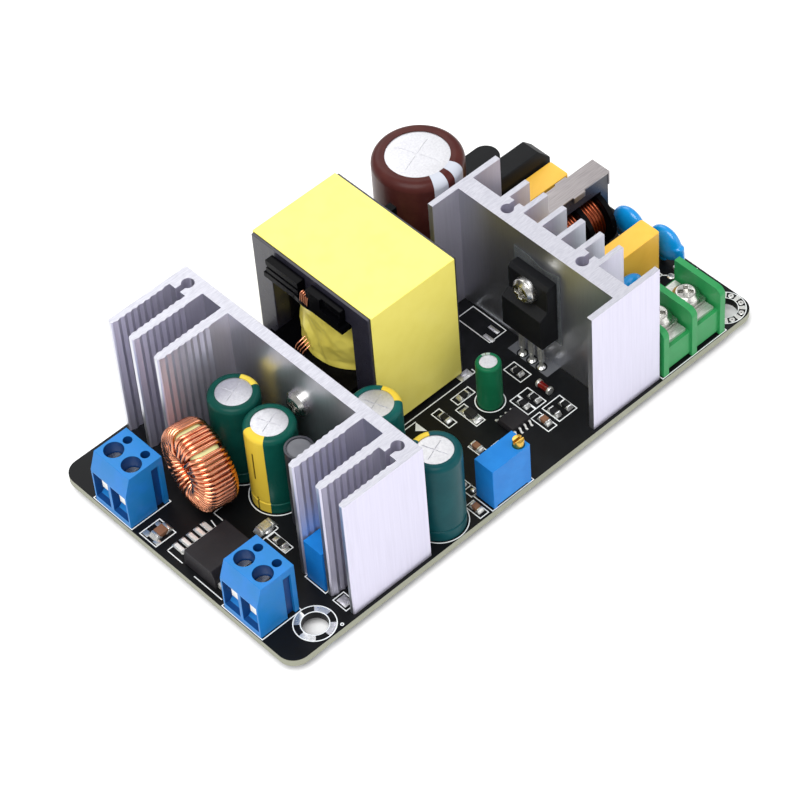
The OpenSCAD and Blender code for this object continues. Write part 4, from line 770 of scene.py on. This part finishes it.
def discPiece(shape, x, y, degrees, lean):
    deselectAll()
    around, down = shape["lensSides"]
    bpy.ops.mesh.primitive_uv_sphere_add(segments=around, ring_count=down, radius=0.5,
                                         location=place(x, y, shape["z"]),
                                         scale=Vector((shape["wide"], shape["thick"], shape["wide"])) * mm)
    solids = [bpy.context.object]
    height = shape["z"] - shape["low"] - shape["tailEnd"]
    for side in (-0.5, 0.5):
        deselectAll()
        bpy.ops.mesh.primitive_cone_add(vertices=shape["tailSides"], radius1=shape["tail"][0] * mm,
                                        radius2=shape["tail"][1] * mm, depth=height * mm, scale=(1, shape["flat"], 1),
                                        location=place(x + side * shape["leadPitch"], y, shape["low"] + height / 2))
        solids.append(bpy.context.object)
    disc = joinAll(solids, "discPiece")
    applyModifier(disc, "REMESH", mode="VOXEL", voxel_size=shape["voxel"] * mm)
    applyModifier(disc, "SMOOTH", **shape["ease"])
    editAll(disc)
    bpy.ops.transform.rotate(value=-math.radians(lean), orient_axis="Y", center_override=place(x, y, shape["z"]))
    bpy.ops.transform.rotate(value=-math.radians(degrees), orient_axis="Z", center_override=place(x, y, 0))
    bpy.ops.object.mode_set(mode="OBJECT")
    activate(disc)
    bpy.ops.object.shade_smooth()
    return disc


lineDiscs = joinAll([discPiece(discShape, *spot) for spot in discShape["places"].values()], "lineDiscs")
coat(lineDiscs, "blueEpoxy")
settle(lineDiscs, "blue_coating", "disc_capacitors")
print("small line parts made")

# printed marks on the board: thin ink outlines of the parts, each a low plate inset to a line
boardPrint = {
    "line": 0.2, "thick": 0.025,
    "frames": [  # near-left corner, far-right corner
        (0.6, 38.2, 5.6, 43.0), (15.0, 2.4, 17.8, 6.1), (16.2, 20.1, 18.3, 25.4),
        (0.15, 8.3, 9.75, 19.5), (0.15, 44.5, 9.75, 55.7), (57.7, 20.4, 59.9, 25.4), (62.8, 23.3, 67.5, 25.5),
        (61.6, 17.0, 64.0, 22.9), (57.0, 10.0, 59.0, 14.7), (60.1, 7.0, 62.2, 11.7), (46.6, 0.5, 48.9, 4.7),
        (70.3, 12.1, 72.4, 17.2), (72.4, 12.1, 75.2, 17.2), (73.2, 6.7, 78.0, 11.5), (70.0, 6.4, 72.4, 11.2),
        (75.0, 18.9, 78.0, 23.7), (78.0, 30.4, 82.6, 39.7), (49.4, 0.1, 60.1, 5.45), (94.2, 0.15, 111.8, 13.0),
        (95.0, 19.0, 113.8, 24.8), (94.1, 42.8, 112.9, 48.6), (93.9, 48.9, 113.5, 54.4), (99.5, 57.7, 110.5, 64.5),
        (97.9, 28.2, 112.4, 42.6), (15.1, 8.0, 25.5, 13.7), (49.0, 5.3, 51.15, 10.2)],
    "strokes": [  # start, end
        (15.3, 25.5, 19.35, 25.5), (19.35, 25.5, 19.35, 28.2), (50.0, 27.05, 71.0, 27.05), (71.0, 27.05, 71.0, 28.0),
        (1.65, 36.2, 1.65, 32.0), (1.65, 36.2, 3.5, 36.2), (1.15, 28.0, 1.15, 20.5), (13.4, 36.8, 13.4, 34.3),
        (13.4, 36.8, 17.0, 36.8), (11.9, 35.7, 11.55, 34.1), (54.4, 26.1, 51.4, 26.1), (113.6, 19.0, 117.4, 15.4),
        (117.4, 15.4, 119.6, 15.4), (49.1, 7.52, 51.05, 7.52)],
    "triangles": [((54.4, 26.0), (54.45, 22.9), (52.9, 24.5))],
    "rings": {"outsideNear": 5.5, "outsideFar": 5.5, "bias": 3.0, "insideNear": 5.6, "insideFar": 5.6, "bulk": 9.4},
    "ringSteps": 64, "dots": [(12.6, 0.8, 0.36), (57.3, 10.3, 0.25)], "dotSteps": 20, "dotInk": 0.5,
}


def flatStart(x, y, wide, deep):
    deselectAll()
    bpy.ops.mesh.primitive_plane_add(size=1, location=place(x, y))
    bpy.context.object.scale = (wide * mm, deep * mm, 1)
    bpy.ops.object.transform_apply(location=True, rotation=True, scale=True)
    return bpy.context.object


def inkFrame(x0, y0, x1, y1, line):
    plate = flatStart((x0 + x1) / 2, (y0 + y1) / 2, x1 - x0, y1 - y0)
    editAll(plate)
    bpy.ops.mesh.inset(thickness=line * mm)
    bpy.ops.mesh.delete(type="FACE")
    bpy.ops.object.mode_set(mode="OBJECT")
    return plate


def inkStroke(x0, y0, x1, y1, line):
    plate = flatStart((x0 + x1) / 2, (y0 + y1) / 2, math.hypot(x1 - x0, y1 - y0) + line, line)
    editAll(plate)
    turn = math.atan2(y1 - y0, x1 - x0)
    bpy.ops.transform.rotate(value=-turn, orient_axis="Z", center_override=place((x0 + x1) / 2, (y0 + y1) / 2))
    bpy.ops.object.mode_set(mode="OBJECT")
    return plate


def inkRing(x, y, radius, line, steps):
    deselectAll()
    bpy.ops.mesh.primitive_circle_add(vertices=steps, radius=radius * mm, fill_type="NGON", location=place(x, y))
    plate = bpy.context.object
    bpy.ops.object.transform_apply(location=True, rotation=True, scale=True)
    editAll(plate)
    bpy.ops.mesh.inset(thickness=line * mm)
    bpy.ops.mesh.delete(type="FACE")
    bpy.ops.object.mode_set(mode="OBJECT")
    return plate


def inkTriangle(corners):
    deselectAll()
    bpy.ops.mesh.primitive_circle_add(vertices=3, radius=mm, fill_type="NGON")
    plate = bpy.context.object
    for vertex, corner in zip(plate.data.vertices, corners):
        vertex.co = place(*corner)
    return plate


def plateUp(plates, name, thick):  # joins flat plates and gives them their thickness, upwards from the board
    joined = joinAll(plates, name)
    editAll(joined)
    bpy.ops.mesh.normals_make_consistent(inside=False)
    bpy.ops.object.mode_set(mode="OBJECT")
    for face in joined.data.polygons:
        if face.normal.z < 0:
            face.flip()
    applyModifier(joined, "SOLIDIFY", thickness=thick * mm, offset=1)
    return joined


line = boardPrint["line"]
inkPlates = [inkFrame(*frameAt, line) for frameAt in boardPrint["frames"]]
inkPlates += [inkStroke(*stroke, line) for stroke in boardPrint["strokes"]]
for cap, radius in boardPrint["rings"].items():
    inkPlates.append(inkRing(*capAxes[cap], radius, line, boardPrint["ringSteps"]))
inkPlates += [inkTriangle(corners) for corners in boardPrint["triangles"]]
for x, y, radius in boardPrint["dots"]:
    inkPlates.append(inkRing(x, y, radius, radius * boardPrint["dotInk"], boardPrint["dotSteps"]))
boardInk = plateUp(inkPlates, "boardInk", boardPrint["thick"])
coat(boardInk, "silkInk")
settle(boardInk, "board")
print("board printed")

# tinned rings round the mounting holes, with a circle of plated vias
holeRings = {  # gap: middle, pitch and width in degrees of the dark places between tinned ones
    "nearLeft": {"at": (9.3, 4.4), "edges": (2.55, 2.74, 3.88, 4.08), "gap": (70.0, 90.0, 40.0), "vias": 0},
    "nearRight": {"at": (115.7, 4.4), "edges": (2.55, 2.7, 4.02, 4.2), "gap": (22.5, 45.0, 30.0), "vias": 8},
    "farRight": {"at": (115.7, 60.6), "edges": (2.55, 2.7, 4.02, 4.2), "gap": (22.5, 45.0, 30.0), "vias": 8},
}
ringShape = {"thick": 0.04, "steps": 144, "viaAt": 3.36, "viaOutside": 0.56, "viaInside": 0.14, "viaRise": 0.03,
             "viaEdge": 0.05, "viaSteps": 24}


def viaPiece(spot, shape):
    inside, outside, low = shape["viaInside"], shape["viaOutside"], shape["thick"]
    high = low + shape["viaRise"]
    profile = [(inside, low), (outside, low), (outside - shape["viaEdge"], high), (inside, high), (inside, low)]
    return coat(turnProfile("via", profile, spot, shape["viaSteps"]), "solderTin")


ringPlates = []
for ring in holeRings.values():
    centre, edges, thick = place(*ring["at"]), ring["edges"], ringShape["thick"]
    profile = [(edges[0], 0.0), (edges[3], 0.0)] + [(edge, thick) for edge in reversed(edges)] + [(edges[0], 0.0)]
    plate = turnProfile("holeRing", profile, centre, ringShape["steps"])
    coat(plate, "silkInk", "solderTin", "boardMask")
    middle, pitch, wide = ring["gap"]
    for face in plate.data.polygons:
        out = (face.center - centre).xy
        inGap = (math.degrees(math.atan2(out.y, out.x)) - middle + wide / 2) % pitch < wide
        inBand = edges[1] < out.length / mm < edges[2]
        face.material_index = (2 if inGap else 1) if inBand else 0
    ringPlates.append(plate)
    for k in range(ring["vias"]):
        a = math.tau * (k + 0.5) / ring["vias"]
        spot = centre + Vector((math.cos(a), math.sin(a), 0)) * ringShape["viaAt"] * mm
        ringPlates.append(viaPiece(spot, ringShape))
holeTin = joinAll(ringPlates, "holeTin")
settle(holeTin, "solder")

# bare tinned pads and solder: long pads, blobs and the grey heat field under the power switch
tinnedPads = {  # pads: middle, width and depth; blobs: middle, radius and rise
    "pads": [(1.6, 41.9, 1.2, 1.5), (1.6, 39.0, 1.2, 1.2), (4.5, 42.0, 1.0, 1.2), (16.4, 4.3, 1.9, 2.4),
             (81.0, 32.3, 0.9, 2.6), (78.8, 31.4, 0.9, 2.6), (68.9, 27.9, 3.0, 1.8), (17.3, 23.8, 1.3, 1.1),
             (17.0, 20.9, 1.2, 1.1)],
    "blobs": [(17.7, 27.2, 1.5, 0.5), (114.6, 17.6, 0.8, 0.3), (50.4, 6.3, 0.55, 0.4), (50.3, 8.4, 0.5, 0.4)],
    "thick": 0.14, "edge": 0.06, "domeSteps": 8, "steps": 28,
    "field": (79.5, 16.3, 83.9, 27.0), "fieldThick": 0.02,
}
regulatorFeet = {"middle": 6.9, "pitch": 1.7, "order": (-2, -1, 0, 1, 2), "pad": (34.9, 1.15, 3.2),
                 "blob": (36.0, 0.5, 0.45)}
switchFeet = {"at": [(80.6, 18.96), (80.6, 21.5), (80.6, 24.04)], "ring": 0.85, "bore": 0.35, "waist": 0.75,
              "heights": (0.03, 0.22, 0.4), "ground": 0.3, "groundBore": 0.3, "groundSteps": 32}
feet = [regulatorFeet["middle"] + regulatorFeet["pitch"] * k for k in regulatorFeet["order"]]
padPlates = []
for x, y, wide, deep in tinnedPads["pads"] + [(x, *regulatorFeet["pad"]) for x in feet]:
    low, high = (x - wide / 2, y - deep / 2, 0.0), (x + wide / 2, y + deep / 2, tinnedPads["thick"])
    padPlates.append(block("pad", low, high, tinnedPads["edge"]))
for x, y, radius, rise in tinnedPads["blobs"] + [(x, *regulatorFeet["blob"]) for x in feet]:
    angles = [math.pi / 2 * k / tinnedPads["domeSteps"] for k in range(tinnedPads["domeSteps"] + 1)]
    dome = [(0.0, 0.0)] + [(radius * math.cos(a), rise * math.sin(a)) for a in angles]
    padPlates.append(smoothOver(turnProfile("blob", dome, place(x, y), tinnedPads["steps"]), roundSmooth))
leadGrounds = []
ring, bore, (low, middle, high) = switchFeet["ring"], switchFeet["bore"], switchFeet["heights"]
for x, y in switchFeet["at"]:
    profile = [(bore, low), (ring, low), (ring * switchFeet["waist"], middle), (bore, high), (bore, low)]
    padPlates.append(smoothOver(turnProfile("leadPad", profile, place(x, y), tinnedPads["steps"]), roundSmooth))
inside, outside = switchFeet["groundBore"], ring + switchFeet["ground"]
for x, y in switchFeet["at"]:
    profile = [(inside, 0.0), (outside, 0.0), (outside, low), (inside, low), (inside, 0.0)]
    leadGrounds.append(turnProfile("leadGround", profile, place(x, y), switchFeet["groundSteps"]))
leadGround = joinAll(leadGrounds, "leadGround")
coat(leadGround, "boardMask")
settle(leadGround, "board")
padSolder = joinAll(padPlates, "padSolder")
coat(padSolder, "solderTin")
settle(padSolder, "solder")
x0, y0, x1, y1 = tinnedPads["field"]
heatField = flatStart((x0 + x1) / 2, (y0 + y1) / 2, x1 - x0, y1 - y0)
applyModifier(heatField, "SOLIDIFY", thickness=tinnedPads["fieldThick"] * mm, offset=1)
heatField.name = "heatField"
coat(heatField, "greyField")
settle(heatField, "board")

# solder fillets at the ends of the chip parts
filletSpread = {"across": 1.12, "along": 3.0, "rise": 0.7, "edge": 0.06, "smooth": 45}
endPieces = copyNode("chip_terminals")
editAll(endPieces)
bpy.ops.mesh.separate(type="LOOSE")
bpy.ops.object.mode_set(mode="OBJECT")
fillets = []
for end in list(bpy.context.selected_objects):
    corners = [Vector(v.co) for v in end.data.vertices]
    low = Vector([min(c[i] for c in corners) for i in range(3)])
    high = Vector([max(c[i] for c in corners) for i in range(3)])
    bpy.data.objects.remove(end, do_unlink=True)
    deselectAll()
    size = high - low
    size.z *= filletSpread["rise"]
    centre = (low + high) / 2
    middle = Vector((centre.x, centre.y, low.z + size.z / 2))
    bpy.ops.mesh.primitive_cube_add(size=1, location=middle, scale=size)
    fillet = bpy.context.object
    bpy.ops.object.transform_apply(location=True, rotation=True, scale=True)
    ways = ("along", "across") if size.x < size.y else ("across", "along")
    for vertex in fillet.data.vertices:
        if vertex.co.z < middle.z:
            vertex.co.x = centre.x + (vertex.co.x - centre.x) * filletSpread[ways[0]]
            vertex.co.y = centre.y + (vertex.co.y - centre.y) * filletSpread[ways[1]]
    editAll(fillet)
    bpy.ops.mesh.bevel(offset=filletSpread["edge"] * mm, segments=edgeStyle["segments"], affect="EDGES")
    bpy.ops.object.mode_set(mode="OBJECT")
    fillets.append(fillet)
chipFillets = smoothOver(joinAll(fillets, "chipFillets"), filletSpread["smooth"])
coat(chipFillets, "solderTin")
settle(chipFillets, "solder")
print("solder laid")

# floor and light
stage = {"floor": 6.0, "under": -0.0001, "colour": "f4f4f4", "sky": 0.55, "aim": (0, 0, 0.01)}
lamps = {"keyLamp": {"power": 16.0, "size": 0.9, "location": (-0.55, -0.25, 1.05)},
         "fillLamp": {"power": 4.4, "size": 1.0, "location": (0.55, -0.85, 0.6)},
         "rimLamp": {"power": 5.0, "size": 0.8, "location": (0.3, 0.9, 0.8)}}
bpy.ops.mesh.primitive_plane_add(size=stage["floor"], location=(0, 0, stage["under"]))
floor = bpy.context.object
floor.name = "studioFloor"
floorFinish = Finish("studioFloor", stage["colour"], roughness=0.9, specular=0.1)
floor.data.materials.append(floorFinish.material)


def softLamp(name, power, size, location):
    bpy.ops.object.light_add(type="AREA", location=location)
    lamp = bpy.context.object
    lamp.name = name
    lamp.data.energy = power
    lamp.data.size = size
    lamp.rotation_euler = (Vector(stage["aim"]) - Vector(location)).to_track_quat("-Z", "Y").to_euler()


for name, lamp in lamps.items():
    softLamp(name, **lamp)
world = bpy.data.worlds.new("studioSky")
bpy.context.scene.world = world
world.use_nodes = True
sky = world.node_tree.nodes["Background"]
sky.inputs["Color"].default_value = (1, 1, 1, 1)
sky.inputs["Strength"].default_value = stage["sky"]
print("stage lit")
